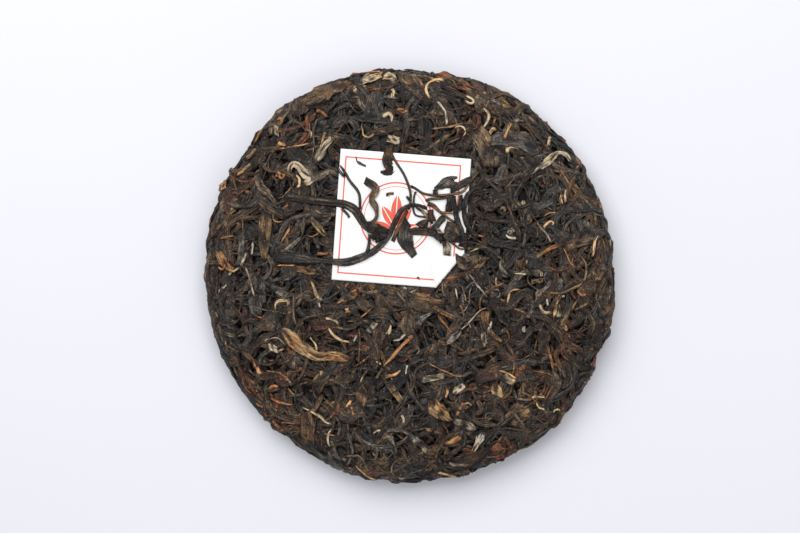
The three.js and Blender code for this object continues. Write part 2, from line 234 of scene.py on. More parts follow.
class Kind:
    """A kind of leaf: its form, its mesh density, its size ranges, how wide its ends are beside
    its middle, and how ragged, slanted and twisted it may be."""

    def __init__(self, form, rings, top, under, length=None, width=None, thick=None,
                 ends=(0.1, 0.8), ragged=0.22, slant=0.6, twist=0.16):
        self.form, self.rings = form, rings
        self.length, self.width, self.thick = length, width, thick
        self.ends, self.ragged, self.slant, self.twist = ends, ragged, slant, twist
        reach = np.linspace(-1, 1, top)
        self.top = np.sign(reach) * np.abs(reach) ** 0.85
        self.under = np.linspace(0.72, -0.72, under) if under > 1 else np.zeros(1)


def between(limits):
    return rng.uniform(*limits)


def wandering(middle, heading, length, bend=0.28, sway=0.06, kink=0.3):
    """A route of six points round a middle, bent, swaying and a little kinked."""
    share = np.linspace(-0.5, 0.5, 6)
    across = length * rng.normal(0, bend) * (share ** 2 - 0.1)
    across += length * rng.normal(0, sway) * np.sin(6 * share + between((0, TAU)))
    across += rng.normal(0, kink, 6)
    c, s = math.cos(heading), math.sin(heading)
    along = length * share
    return np.stack([middle[0] + along * c - across * s, middle[1] + along * s + across * c], 1)


def elbow(middle, heading, length):
    """A route with one sharp bend somewhere in its middle."""
    share = between((0.35, 0.65))
    turn = rng.choice([-1, 1]) * between((0.6, 1.7))
    steps = np.array([share / 2, share / 2, 0.04, (1 - share) / 2, (1 - share) / 2]) * length
    headings = heading + turn * np.array([-0.5, -0.45, 0, 0.45, 0.5])
    moves = np.stack([steps * np.cos(headings), steps * np.sin(headings)], 1)
    route = np.vstack([[0, 0], np.cumsum(moves, axis=0)])
    return route - route.mean(0) + middle


def bent_or_not(middle, heading, length):
    return (elbow if rng.random() < 0.16 else wandering)(middle, heading, length)


def gentle(middle, heading, length):
    return wandering(middle, heading, length, bend=0.12, sway=0.03, kink=0.12)


def curl(middle, heading, length, sweeps=(1.4, 4.2)):
    """Part of a loop, as a curled bud or tendril lies."""
    sweep = between(sweeps)
    radius = length / sweep
    swell = radius * (1 + 0.4 * np.linspace(-1, 1, 7) * rng.uniform(-1, 1))
    angle = heading + np.linspace(-sweep / 2, sweep / 2, 7)
    return np.stack([middle[0] + swell * np.cos(angle), middle[1] + swell * np.sin(angle)], 1)


def ribbon(middle, heading, length):
    """A long leaf's route: mostly well bent or swaying, at times an arc or an elbow."""
    draw = rng.random()
    if draw < 0.14:
        return elbow(middle, heading, length)
    if draw < 0.4:
        return curl(middle, heading, length, (0.8, 3.2))
    return wandering(middle, heading, length, bend=0.65, sway=0.1)


def swelling(u, v):
    """How the heap's height wanders, in millimetres."""
    return 0.3 * np.sin(0.11 * u + 0.4) * np.cos(0.09 * v - 0.8) + 0.25 * np.sin(0.22 * v + 0.15 * u)


def top_limit(u, v, high):
    """How high a leaf's top may stand: below the ticket where the ticket lies."""
    high = high + swelling(u, v)
    return UNDER_PAPER + (high - UNDER_PAPER) * smoothstep(beyond_ticket(u, v), 0, 6.0)


def half_widths(kind, t, length, width, traced):
    """A leaf's reach to the left and to the right of its middle line, with ragged edges."""
    if traced is None:
        base = np.full(len(t), width / 2)
        for ends in (t, 1 - t):
            least = between(kind.ends)
            base *= least + (1 - least) * smoothstep(ends, -0.02, between((0.06, 0.4)))
        base *= 1 + 0.2 * np.sin(TAU * (t * between((0.5, 0.09 * length + 0.6)) + rng.random()))
    else:
        base = traced / 2
    knots = int(length / 1.7) + 3
    where = np.linspace(0, 1, knots)
    ragged = kind.ragged * (1 if traced is None else 0.6)
    rags = [np.interp(t, where, rng.uniform(-ragged, ragged, knots)) for _ in range(2)]
    return [np.maximum(base * (1 + rag), 0.12) for rag in rags]


def lay(route, kind, width, thick, side, look, high=None, tuck=(0, 0)):
    """Lays one leaf on what lies there and returns it, ready for its mesh. A leaf with no
    limit on its height lies over everything, also the ticket, and its ends may be tucked in.
    A route's third column, where it has one, gives the leaf's width along it."""
    dense_route = spline(route, 8)
    length = distances(dense_route)[-1]
    count = max(8, int(length / SAMPLE))
    rows = resample(dense_route, count)
    middle = rows[:, :2]
    t = np.linspace(0, 1, count)
    ahead = np.gradient(middle, axis=0)
    ahead /= np.linalg.norm(ahead, axis=1)[:, None] + 1e-9
    seeds = rng.random(10)
    left, right = half_widths(kind, t, length, width, rows[:, 2] if rows.shape[1] == 3 else None)
    x = np.linspace(-1, 1, max(3, int(width / SAMPLE) + 1))
    across = x * np.where(x < 0, left[:, None], right[:, None])
    u = middle[:, :1] - ahead[:, 1:] * across
    v = middle[:, 1:] + ahead[:, :1] * across
    s, angle = CHARTS[side](u, v)
    ground = relief.read(s, angle)
    span = int(max(3, 3.5 / SAMPLE)) | 1
    tilt = kind.twist * rng.normal() * np.sin(TAU * (t * (0.3 + seeds[5]) + seeds[4]))
    if high is None:
        level = smoothed(ground.max(1), span) + 0.12 * thick
        ends = np.array([t, 1 - t]) * length
        level -= tuck[0] * smoothstep(ends[0], 7, 0) + tuck[1] * smoothstep(ends[1], 7, 0)
    else:
        level = smoothed(0.5 * ground.max(1) + 0.5 * ground.mean(1), span)
        if side == FACE:
            limit = smoothed(top_limit(u, v, high).min(1), 3)
        else:
            limit = high + 0.3 * swelling(u, v).min(1)
        level = np.minimum(level, limit - thick)
        slope = (ground[:, x > 0].mean(1) - ground[:, x < 0].mean(1)) / max(width, 1)
        tilt += np.clip(0.55 * np.arctan(smoothed(slope, span)), -0.4, 0.4)
    bulge = np.sqrt(np.clip(1 - x ** 2, 0, 1)) * thick
    relief.stamp(s, angle, level[:, None] + bulge + across * np.sin(tilt)[:, None])
    at = np.linspace(0, count - 1, kind.rings)
    steps = np.arange(count)

    def at_rings(values):
        return np.interp(at, steps, values)

    return {
        "middle": np.stack([at_rings(column) for column in middle.T], 1),
        "left": at_rings(left),
        "right": at_rings(right),
        "level": at_rings(level),
        "tilt": at_rings(tilt),
        "length": length,
        "thick": thick,
        "side": side,
        "look": look,
        "pale": between((0.3, 1.0)) if rng.random() < 0.14 else 0.0,
        "slant": rng.uniform(-kind.slant, kind.slant, 2),
        "seeds": seeds,
    }


def strip_top(x, t, seeds, thick):
    """A twisted leaf's upper side: a crown with a wandering groove, ridges and knuckles."""
    crown = np.clip(1 - np.abs(x) ** 2.4, 0, 1) ** 0.6
    groove_x = 0.8 * (seeds[0] - 0.5) + 0.3 * np.sin(TAU * (t * (0.4 + seeds[1]) + seeds[2]))
    groove = 1 - (0.25 + 0.65 * seeds[3]) * np.exp(-((x - groove_x) / 0.2) ** 2)
    turn = (3 + 6 * seeds[4]) * x + TAU * (t * (seeds[5] - 0.5) * 6 + seeds[6])
    ridges = 0.66 + 0.5 * np.abs(np.sin(turn))
    knuckles = 1 + 0.22 * np.sin(TAU * (t * (1.5 + 5 * seeds[7]) + seeds[8]))
    return crown * groove * ridges * knuckles * thick


def sheet_top(x, t, seeds, thick):
    """A flat leaf piece: curled at its edges, crumpled, with a sunken rib."""
    curl_up = (seeds[0] - 0.4) * 1.1 * x ** 2
    wave = 0.34 * np.sin(TAU * (1.2 * x * (seeds[1] - 0.5) + t * (0.8 + 1.6 * seeds[2]) + seeds[3]))
    crumple = 0.24 * np.sin(9 * x * seeds[4] + 17 * t + TAU * seeds[5]) * np.cos(12 * t + 6 * x)
    rib = -0.3 * np.exp(-((x - 0.15 * (seeds[6] - 0.5)) / 0.14) ** 2)
    return curl_up + wave + crumple + rib + thick


def round_top(x, t, seeds, thick):
    """A stem, bud or tendril: a round back with slight ribs."""
    ribs = 1 + 0.16 * np.sin(5 * x + TAU * (seeds[0] + 2 * t * seeds[1]))
    joints = 1 + 0.14 * np.sin(TAU * (t * (1 + 3 * seeds[2]) + seeds[3]))
    return np.sqrt(np.clip(1 - x ** 2, 0, 1)) * ribs * joints * thick


TOPS = {"strip": strip_top, "sheet": sheet_top, "round": round_top}


def section_heights(kind, x_top, x_under, t, seeds, thick):
    top = TOPS[kind.form]
    upper = top(x_top, t, seeds, thick)
    if kind.form == "sheet":
        lower = top(x_under, t, seeds, thick) - 0.45
    else:
        lower = -0.55 * thick * np.sqrt(np.clip(1 - x_under ** 2, 0, 1)) + 0 * t
    return np.concatenate([upper, lower], axis=2)


def tube_faces(rings, around):
    """The faces of one closed tube: its quads as rows of four, and its two end faces."""
    ring = np.arange(rings - 1)[:, None] * around
    j = np.arange(around)[None, :]
    k = (j + 1) % around
    quads = np.stack([ring + j, ring + around + j, ring + around + k, ring + k], axis=2)
    first = np.arange(around)
    last = (rings - 1) * around + np.arange(around)[::-1]
    return quads.reshape(-1, 4), first, last


def bake_cells(count, rings, around):
    """A UV map in which each leaf has its own cell, with its skin unrolled in it."""
    side = math.ceil(math.sqrt(count))
    cell = np.arange(count)
    corner = np.stack([cell % side, cell // side], axis=1) / side
    ring = np.repeat(np.arange(rings - 1), around)
    j = np.tile(np.arange(around), rings - 1)
    x = np.stack([j, j, j + 1, j + 1], axis=1) / around
    y = np.stack([ring, ring + 1, ring + 1, ring], axis=1) / (rings - 1)
    skin = np.stack([0.06 + 0.88 * x, 0.12 + 0.76 * y], axis=2).reshape(-1, 2)
    turn = TAU * np.arange(around) / around
    circle = 0.035 * np.stack([np.cos(turn), np.sin(turn)], axis=1)
    first = circle + [0.3, 0.05]
    last = circle[::-1] + [0.7, 0.95]
    one = np.vstack([skin, first, last]) / side
    return (corner[:, None, :] + one[None, :, :]).reshape(-1, 2)


def new_mesh(name, points, loops, sizes, uv, attributes, material):
    """A mesh object from arrays: points in metres, corners, corners per face and named values."""
    mesh = bpy.data.meshes.new(name)
    mesh.vertices.add(len(points))
    mesh.vertices.foreach_set("co", points.astype(np.float32).ravel())
    mesh.loops.add(len(loops))
    mesh.loops.foreach_set("vertex_index", loops.astype(np.int32))
    starts = np.concatenate([[0], np.cumsum(sizes)[:-1]])
    mesh.polygons.add(len(sizes))
    mesh.polygons.foreach_set("loop_start", starts.astype(np.int32))
    mesh.polygons.foreach_set("use_smooth", np.ones(len(sizes), bool))
    layer = mesh.uv_layers.new(name="OFBake")
    layer.data.foreach_set("uv", uv.astype(np.float32).ravel())
    for label, values in attributes.items():
        kind = "FLOAT_COLOR" if values.shape[1] == 4 else "FLOAT_VECTOR"
        slot = "color" if kind == "FLOAT_COLOR" else "vector"
        made = mesh.attributes.new(label, kind, "POINT")
        made.data.foreach_set(slot, values.astype(np.float32).ravel())
    mesh.update(calc_edges=True)
    mesh.validate()
    piece = bpy.data.objects.new(name, mesh)
    bpy.context.scene.collection.objects.link(piece)
    mesh.materials.append(material)
    return piece


def pressed_flat(height):
    """Keeps what would hang below the cake's resting plane just above it."""
    squeezed = PRESSED_BELOW * np.exp(np.minimum(height - PRESSED_BELOW, 0) / PRESSED_BELOW)
    return np.where(height < PRESSED_BELOW, squeezed, height)


def build_leaves(name, leaves, kind, material):
    """Joins all the leaves of a kind in one mesh."""
    count, rings = len(leaves), kind.rings
    around = len(kind.top) + len(kind.under)

    def gather(key):
        return np.array([leaf[key] for leaf in leaves])

    middle, left, right = map(gather, ("middle", "left", "right"))
    level, tilt, length = map(gather, ("level", "tilt", "length"))
    thick, side, slant = map(gather, ("thick", "side", "slant"))
    look, pale = gather("look"), gather("pale")[:, None, None]
    seeds = gather("seeds").T[:, :, None, None]
    t = np.linspace(0, 1, rings)[None, :, None]
    ends = np.minimum(1, (np.sin(math.pi * t) + 0.12) * 1.9)
    x_top = kind.top[None, None, :]
    x_under = kind.under[None, None, :]
    heights = section_heights(kind, x_top, x_under, t, seeds, thick[:, None, None])
    heights = np.broadcast_to(heights, (count, rings, around)) * ends
    x = np.concatenate([kind.top, kind.under])[None, None, :]
    across = x * np.where(x < 0, left[:, :, None], right[:, :, None])
    forward = across * (
        slant[:, :1, None] * smoothstep(t, 0.3, 0) + slant[:, 1:, None] * smoothstep(t, 0.7, 1))
    c, s = np.cos(tilt)[:, :, None], np.sin(tilt)[:, :, None]
    sideways = across * c - heights * s
    lift = level[:, :, None] + across * s + heights * c
    ahead = np.gradient(middle, axis=1)
    ahead /= np.linalg.norm(ahead, axis=2)[:, :, None] + 1e-9
    u = middle[:, :, :1] - ahead[:, :, 1:] * sideways + ahead[:, :, :1] * forward
    v = middle[:, :, 1:] + ahead[:, :, :1] * sideways + ahead[:, :, 1:] * forward
    points = np.empty((count, rings, around, 3))
    for index, chart in enumerate(CHARTS):
        mine = side == index
        if mine.any():
            points[mine] = body_point(*chart(u[mine], v[mine]), lift[mine])
    points[..., 2] = pressed_flat(points[..., 2])
    quads, first, last = tube_faces(rings, around)
    offset = np.arange(count)[:, None] * rings * around
    one = np.concatenate([quads.ravel(), first, last])
    loops = (offset + one[None, :]).ravel()
    sizes = np.tile(np.concatenate([np.full(len(quads), 4), [around, around]]), count)
    # Height within the leaf's section; the material turns it into painted shade low down and painted
    # highlight on the crests.
    crest = heights / thick[:, None, None]
    pale_edge = pale * smoothstep(x + 1.1 * (t - 0.5), 0.45, 1.0)
    place = np.stack(np.broadcast_arrays(
        across, t * length[:, None, None], 40 * seeds[9] + 0 * across), axis=3)
    shown = np.stack(np.broadcast_arrays(
        look[:, 0, None, None], look[:, 1, None, None], crest, pale_edge), axis=3)
    attributes = {"leaf_place": place.reshape(-1, 3), "leaf_look": shown.reshape(-1, 4)}
    uv = bake_cells(count, rings, around)
    piece = new_mesh(name, points.reshape(-1, 3) * MM, loops, sizes, uv, attributes, material)
    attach(piece, "root")
    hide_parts("tea_cake")
    return piece


class Nodes:
    """Short calls for building a material's nodes."""

    def __init__(self, name):
        self.material = bpy.data.materials.new(name)
        self.material.use_nodes = True
        self.tree = self.material.node_tree
        self.shader = self.tree.nodes["Principled BSDF"]

    def put(self, socket, value):
        if isinstance(value, bpy.types.NodeSocket):
            self.tree.links.new(value, socket)
        else:
            socket.default_value = value

    def node(self, kind, inputs=None, **settings):
        made = self.tree.nodes.new(kind)
        for key, value in settings.items():
            setattr(made, key, value)
        for key, value in (inputs or {}).items():
            self.put(made.inputs[key], value)
        return made

    def math(self, operation, a, b=0.0, c=0.0):
        made = self.node("ShaderNodeMath", {0: a, 1: b, 2: c}, operation=operation)
        return made.outputs[0]

    def noise(self, vector, scale, detail=2.0, rough=0.5):
        inputs = {"Vector": vector, "Scale": scale, "Detail": detail, "Roughness": rough}
        return self.node("ShaderNodeTexNoise", inputs).outputs["Fac"]

    def scaled(self, vector, factors):
        made = self.node("ShaderNodeVectorMath", {0: vector, 1: factors}, operation="MULTIPLY")
        return made.outputs[0]

    def remap(self, value, low, high, to_low=0.0, to_high=1.0):
        inputs = {0: value, 1: low, 2: high, 3: to_low, 4: to_high}
        made = self.node("ShaderNodeMapRange", inputs, interpolation_type="SMOOTHSTEP")
        return made.outputs[0]

    def swing(self, value, gain, base):
        """The base, moved up and down by a noise value round its middle."""
        return self.math("MULTIPLY_ADD", self.math("SUBTRACT", value, 0.5), gain, base)

    def ramp(self, value, stops):
        made = self.node("ShaderNodeValToRGB", {0: value})
        elements = made.color_ramp.elements
        while len(elements) < len(stops):
            elements.new(0.5)
        for element, (place, colour) in zip(elements, stops):
            element.position = place
            element.color = (*colour, 1)
        return made.outputs[0]

    def mix(self, share, a, b, blend="MIX"):
        made = self.node("ShaderNodeMix", data_type="RGBA", blend_type=blend)
        for key, value in ((0, share), (6, a), (7, b)):
            self.put(made.inputs[key], (*value, 1) if isinstance(value, tuple) else value)
        return made.outputs[2]

    def finish(self, **sockets):
        names = {"colour": "Base Color", "rough": "Roughness", "normal": "Normal",
                 "specular": "Specular IOR Level"}
        for key, value in sockets.items():
            self.put(self.shader.inputs[names[key]], value)
        return self.material


def srgb(*parts):
    """A colour given as it looks on a screen, 0 to 255, in the light's own scale."""
    return tuple(((p / 255 + 0.055) / 1.055) ** 2.4 if p > 10 else p / 255 / 12.92 for p in parts)


# Tones from dark to pale: of grey leaf, of brown leaf, and of rust-coloured stems and tips
GREY_TONES = [
    (0.0, srgb(6, 5, 5)), (0.25, srgb(38, 35, 34)), (0.5, srgb(83, 78, 72)),
    (0.75, srgb(144, 135, 119)), (1.0, srgb(214, 203, 184)),
]
BROWN_TONES = [
    (0.0, srgb(10, 7, 5)), (0.25, srgb(54, 40, 29)), (0.5, srgb(114, 84, 53)),
    (0.75, srgb(182, 142, 90)), (1.0, srgb(230, 200, 148)),
]
RUST_TONES = [
    (0.0, srgb(13, 7, 5)), (0.25, srgb(64, 36, 26)), (0.5, srgb(134, 77, 46)),
    (0.75, srgb(200, 132, 78)), (1.0, srgb(236, 192, 132)),
]
BROWNEST = 0.7


def leaf_material(name, rough=0.44, bump=0.9, fibres=0.65, mottles=0.4):
    """Dried leaf: a tone for each leaf, fibres, pale streaks and dark cracks along it, grain,
    painted shade on its low edges and grooves, painted highlight on its crests, and pale specks."""
    n = Nodes(name)
    place = n.node("ShaderNodeAttribute", attribute_name="leaf_place").outputs["Vector"]
    look_node = n.node("ShaderNodeAttribute", attribute_name="leaf_look")
    look = n.node("ShaderNodeSeparateColor", {0: look_node.outputs["Color"]}).outputs
    where = n.node("ShaderNodeTexCoord").outputs["Object"]
    fibre = n.noise(n.scaled(place, (1.8, 0.15, 1)), 1.0, 3.0, 0.7)
    crack = n.noise(n.scaled(place, (2.0, 0.2, 1.7)), 1.0, 2.0, 0.6)
    streak = n.noise(n.scaled(place, (2.2, 0.13, 2.3)), 1.0, 2.0, 0.6)
    crackle = n.noise(n.scaled(place, (1.5, 0.7, 1)), 1.0, 3.0, 0.7)
    grain = n.noise(where, 1000 / 0.9, 2.0, 0.7)
    mottle = n.noise(where, 1000 / 4, 3.0, 0.6)
    patch = n.noise(where, 1000 / 11, 2.0, 0.5)
    tone = n.swing(mottle, mottles, look[0])
    tone = n.swing(fibre, fibres, tone)
    tone = n.swing(grain, 0.5, tone)
    tone = n.math("MULTIPLY_ADD", n.remap(streak, 0.56, 0.68), 0.2, tone)
    tone = n.math("MULTIPLY_ADD", look_node.outputs["Alpha"], 0.3, tone)
    # Painted shade and highlight: the tone darkens where the section stands low (the leaf's edges and
    # grooves) and lightens on its crests.
    tone = n.math("MULTIPLY", tone, n.remap(look[2], 0.1, 1.1, 0.45, 1.28))
    tone = n.math("MULTIPLY", tone, n.remap(crack, 0.36, 0.47, 0.35, 1.0))
    warmth = n.swing(patch, 0.9, look[1])
    warmth = n.math("MULTIPLY_ADD", look_node.outputs["Alpha"], 0.4, warmth)
    warmth = n.node("ShaderNodeClamp", {0: warmth}).outputs[0]
    brown_share = n.node("ShaderNodeMapRange", {0: warmth, 1: 0.0, 2: BROWNEST}).outputs[0]
    rust_share = n.node("ShaderNodeMapRange", {0: warmth, 1: BROWNEST, 2: 1.0}).outputs[0]
    colour = n.mix(brown_share, n.ramp(tone, GREY_TONES), n.ramp(tone, BROWN_TONES))
    colour = n.mix(rust_share, colour, n.ramp(tone, RUST_TONES))
    speck = n.remap(n.noise(where, 1000 / 1.1, 1.0, 0.5), 0.67, 0.74)
    colour = n.mix(n.math("MULTIPLY", speck, 0.55), colour, srgb(142, 128, 110))
    height = n.math("MULTIPLY_ADD", crackle, 0.6, fibre)
    height = n.math("MULTIPLY_ADD", grain, 0.6, height)
    inputs = {"Strength": bump, "Distance": 0.8 * MM, "Height": height}
    normal = n.node("ShaderNodeBump", inputs).outputs[0]
    gloss = n.remap(crackle, 0.3, 0.7, rough - 0.08, rough + 0.16)
    return n.finish(colour=colour, rough=gloss, normal=normal, specular=0.4)


def core_material():
    n = Nodes("core_painted_shade")
    where = n.node("ShaderNodeTexCoord").outputs["Object"]
    grain = n.noise(where, 900, 4.0, 0.7)
    patch = n.noise(where, 180, 2.0, 0.5)
    tone = n.math("MULTIPLY_ADD", patch, 0.5, n.math("MULTIPLY", grain, 0.5))
    # Near-black tones: painted shade where the core shows between the leaves.
    stops = [(0.3, srgb(5, 4, 3)), (0.55, srgb(14, 11, 9)), (0.75, srgb(30, 23, 19))]
    inputs = {"Strength": 0.8, "Distance": 0.5 * MM, "Height": grain}
    normal = n.node("ShaderNodeBump", inputs).outputs[0]
    return n.finish(colour=n.ramp(tone, stops), rough=0.8, normal=normal)


def make_core():
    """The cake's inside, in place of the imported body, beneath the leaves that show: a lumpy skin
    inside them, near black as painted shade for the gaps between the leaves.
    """
    rows, sectors = 64, 150
    s = np.linspace(0.5, SECTION_LENGTH - 0.5, rows)[:, None]
    angle = (TAU * np.arange(sectors) / sectors)[None, :]
    waves = zip(rng.uniform(0.15, 0.5, 8), rng.integers(5, 40, 8), rng.uniform(0, TAU, 8))
    bumps = sum(np.sin(s * a + phase) * np.sin(angle * b + 2 * phase) for a, b, phase in waves)
    points = body_point(s + 0 * angle, angle + 0 * s, CORE_LIFT + 0.25 * bumps)
    points = points.reshape(-1, 3)
    points[:, 2] = pressed_flat(points[:, 2])
    row = np.arange(rows - 1)[:, None] * sectors
    j = np.arange(sectors)[None, :]
    k = (j + 1) % sectors
    quads = np.stack([row + j, row + sectors + j, row + sectors + k, row + k], axis=2)
    first = np.arange(sectors)
    last = (rows - 1) * sectors + first[::-1]
    loops = np.concatenate([quads.ravel(), first, last])
    sizes = np.concatenate([np.full(quads.shape[0] * quads.shape[1], 4), [sectors, sectors]])
    shares = np.stack(np.broadcast_arrays(
        np.stack([j, j, j + 1, j + 1], 2) / sectors,
        np.arange(rows - 1)[:, None, None] / rows + np.array([0, 1, 1, 0]) / rows), 3)
    ends = np.zeros((2 * sectors, 2))
    turn = TAU * np.arange(sectors) / sectors
    ends[:sectors] = 0.004 * np.stack([np.cos(turn), np.sin(turn)], 1) + [0.3, 0.993]
    ends[sectors:] = 0.004 * np.stack([np.cos(turn), np.sin(turn)], 1) + [0.7, 0.993]
    uv = np.vstack([shares.reshape(-1, 2), ends])
    piece = new_mesh("tea_core", points * MM, loops, sizes, uv, {}, core_material())
    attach(piece, "root")
    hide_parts("tea_cake")


# Kinds of leaf that are strewn: form, rings, points over and under the section, then the ranges
# of length, width and thickness in millimetres
LOW_STRIP = Kind("strip", 8, 4, 2, (12, 34), (2.4, 5.6), (0.9, 1.5))
MID_STRIP = Kind("strip", 12, 5, 2, (9, 32), (1.4, 4.4), (0.8, 1.5))
TOP_STRIP = Kind("strip", 20, 9, 3, (12, 36), (1.4, 4.2), (0.8, 1.4), ends=(0.3, 0.9))
SHORT_STRIP = Kind("strip", 10, 6, 3, (3.5, 12), (1.0, 3.2), (0.6, 1.1))
WISP = Kind("strip", 16, 4, 2, (8, 26), (0.8, 1.9), (0.6, 1.0),
            ends=(0.3, 0.9), ragged=0.2, slant=0.5, twist=0.3)
RIM_STRIP = Kind("strip", 14, 5, 3, (14, 46), (1.4, 4.4), (0.45, 0.85), twist=0.08)
BACK_STRIP = Kind("strip", 10, 6, 2, (12, 34), (2.2, 5.6), (0.8, 1.3))
BROAD = Kind("sheet", 14, 9, 5, (9, 24), (4.5, 9.0), (0.5, 0.8),
             ends=(0.25, 0.95), ragged=0.18, slant=0.9)
STEM = Kind("round", 14, 5, 3, (8, 34), (0.9, 1.7), (0.8, 1.2),
            ends=(0.5, 0.95), ragged=0.08, slant=0.3)
TENDRIL = Kind("round", 13, 4, 2, (5, 12), (0.8, 1.7), (0.6, 0.9),
               ends=(0.15, 0.9), ragged=0.2, slant=0.4)
BUD = Kind("round", 11, 5, 3, (5, 13), (1.2, 2.4), (0.7, 1.1),
           ends=(0.1, 0.6), ragged=0.2, slant=0.5)
CRUMB = Kind("strip", 3, 3, 2, (1.2, 4.5), (0.8, 2.4), (0.5, 1.0),
             ends=(0.4, 0.9), ragged=0.2, slant=0.8, twist=0.3)

# Kinds of leaf that are laid one by one
STRAND = Kind("strip", 44, 11, 5, ends=(0.4, 0.9), ragged=0.12)
LEAF = Kind("strip", 22, 9, 3, ends=(0.3, 0.9), ragged=0.2)
FLAT = Kind("sheet", 18, 9, 5, ends=(0.3, 0.9), ragged=0.18, slant=0.7)
TWIG = Kind("round", 22, 5, 3, ends=(0.6, 0.95), ragged=0.1, slant=0.3)
POD = Kind("round", 14, 7, 3, ends=(0.2, 0.6), ragged=0.15, slant=0.4)
LAID_KINDS = {"strand": STRAND, "leaf": LEAF, "flat": FLAT, "twig": TWIG, "pod": POD}

# Where leaves are strewn: how far out, and from where they lie along the edge
FACE_REACH = 97
FACE_EDGE = 84
BACK_REACH = 100
BACK_EDGE = 86
RIM_ROWS = (-24, 12)
EDGE_SCATTER = 0.35
FREE_SCATTER = 0.9
RIM_SLANT = 0.16
PLACE_SCATTER = 2.0

# How high the tops of the layers may stand off the body
LOW_TOP = 0.3
FLAT_TOP = 0.7
BACK_TOP = 0.8
RIM_TOP = 0.8
RIM_LAST_TOP = 0.9
MIDDLE_TOP = 1.0
UPPER_TOP = 1.8
LAST_TOP = 2.0
SINGLE_TOP = 2.3

# How shades and warmths are drawn: mean shade, its spread, mean warmth, its spread
# DARK, drawn for the lowest layer, is darker as painted shade in the gaps between the leaves above
# it.
DARK = (0.13, 0.05, 0.4, 0.2)
MIDDLING = (0.22, 0.06, 0.36, 0.25)
MIXED = (0.28, 0.08, 0.32, 0.3)
BROWN = (0.35, 0.08, 0.75, 0.2)
LIGHT = (0.52, 0.13, 0.6, 0.25)


def draw_look(ranges, u, v):
    """A shade and a warmth for a leaf, drifting a little from region to region."""
    shade = rng.normal(*ranges[:2]) + 0.02 * math.sin(0.07 * u + 0.05 * v + 1)
    warmth = rng.normal(*ranges[2:]) + 0.15 * math.sin(0.06 * u - 0.045 * v + 2.6)
    return min(max(shade, 0.05), 1), min(max(warmth, 0), 1)


def flow(u, v):
    """A slowly turning heading, so that neighbours lie a little alike, as raked leaves do."""
    return 1.3 * np.sin(0.045 * u + 1.0) + 1.1 * np.cos(0.052 * v - 0.03 * u) + 0.6


def spread(count, reach, scatter):
    """Places spread evenly over a disc, in a shuffled order."""
    golden = math.pi * (3 - math.sqrt(5))
    index = rng.permutation(count)
    radius = reach * np.sqrt((index + 0.5) / count)
    angle = golden * index
    places = np.stack([radius * np.cos(angle), radius * np.sin(angle)], 1)
    return places + rng.normal(0, scatter, places.shape)


def edge_heading(place):
    """Along the edge, as the leaves there lie."""
    return math.atan2(place[1], place[0]) + math.pi / 2 + rng.normal(0, EDGE_SCATTER)


def scatter_face(count, kind, ranges, high, maker=bent_or_not, beside_ticket=None):
    """Strews leaves of a kind over the face. Those that would lie wholly under the ticket are
    left out, and kinds that would be lost beneath its edge stay beside it."""
    leaves = []
    for place in spread(count, FACE_REACH, PLACE_SCATTER):
        length, width, thick = between(kind.length), between(kind.width), between(kind.thick)
        heading = flow(*place) + rng.normal(0, FREE_SCATTER)
        if math.hypot(*place) > FACE_EDGE:
            heading = edge_heading(place)
        route = maker(place, heading, length)
        outside = beyond_ticket(route[:, 0], route[:, 1])
        hidden = outside.max() < 1.5
        beside = beside_ticket is None or outside.min() - width / 2 > beside_ticket
        if beside and not hidden:
            look = draw_look(ranges, *place)
            leaves.append(lay(route, kind, width, thick, FACE, look, high))
    return leaves


def scatter_rim(count, kind, ranges, high, maker=gentle):
    """Leaves that run along the rim, from the face's edge down to the back's."""
    leaves = []
    for index in rng.permutation(count):
        place = (TAU * BODY_RADIUS * (index + rng.uniform(-0.5, 0.5)) / count, between(RIM_ROWS))
        length, width, thick = between(kind.length), between(kind.width), between(kind.thick)
        route = maker(place, rng.normal(0, RIM_SLANT), length)
        look = draw_look(ranges, *place)
        leaves.append(lay(route, kind, width, thick, RIM, look, high))
    return leaves


def scatter_back(count, kind, ranges, high, maker=wandering):
    """Leaves pressed flat on the back, and down into its hollow."""
    leaves = []
    for place in spread(count, BACK_REACH, PLACE_SCATTER):
        length, width, thick = between(kind.length), between(kind.width), between(kind.thick)
        radius = math.hypot(*place)
        heading = flow(-place[1], place[0]) + rng.normal(0, FREE_SCATTER)
        if radius > BACK_EDGE:
            heading = edge_heading(place)
        if radius < HOLLOW_RADIUS + 6:
            length *= 0.75
        look = draw_look(ranges, *place)
        leaves.append(lay(maker(place, heading, length), kind, width, thick, BACK, look, high))
    return leaves


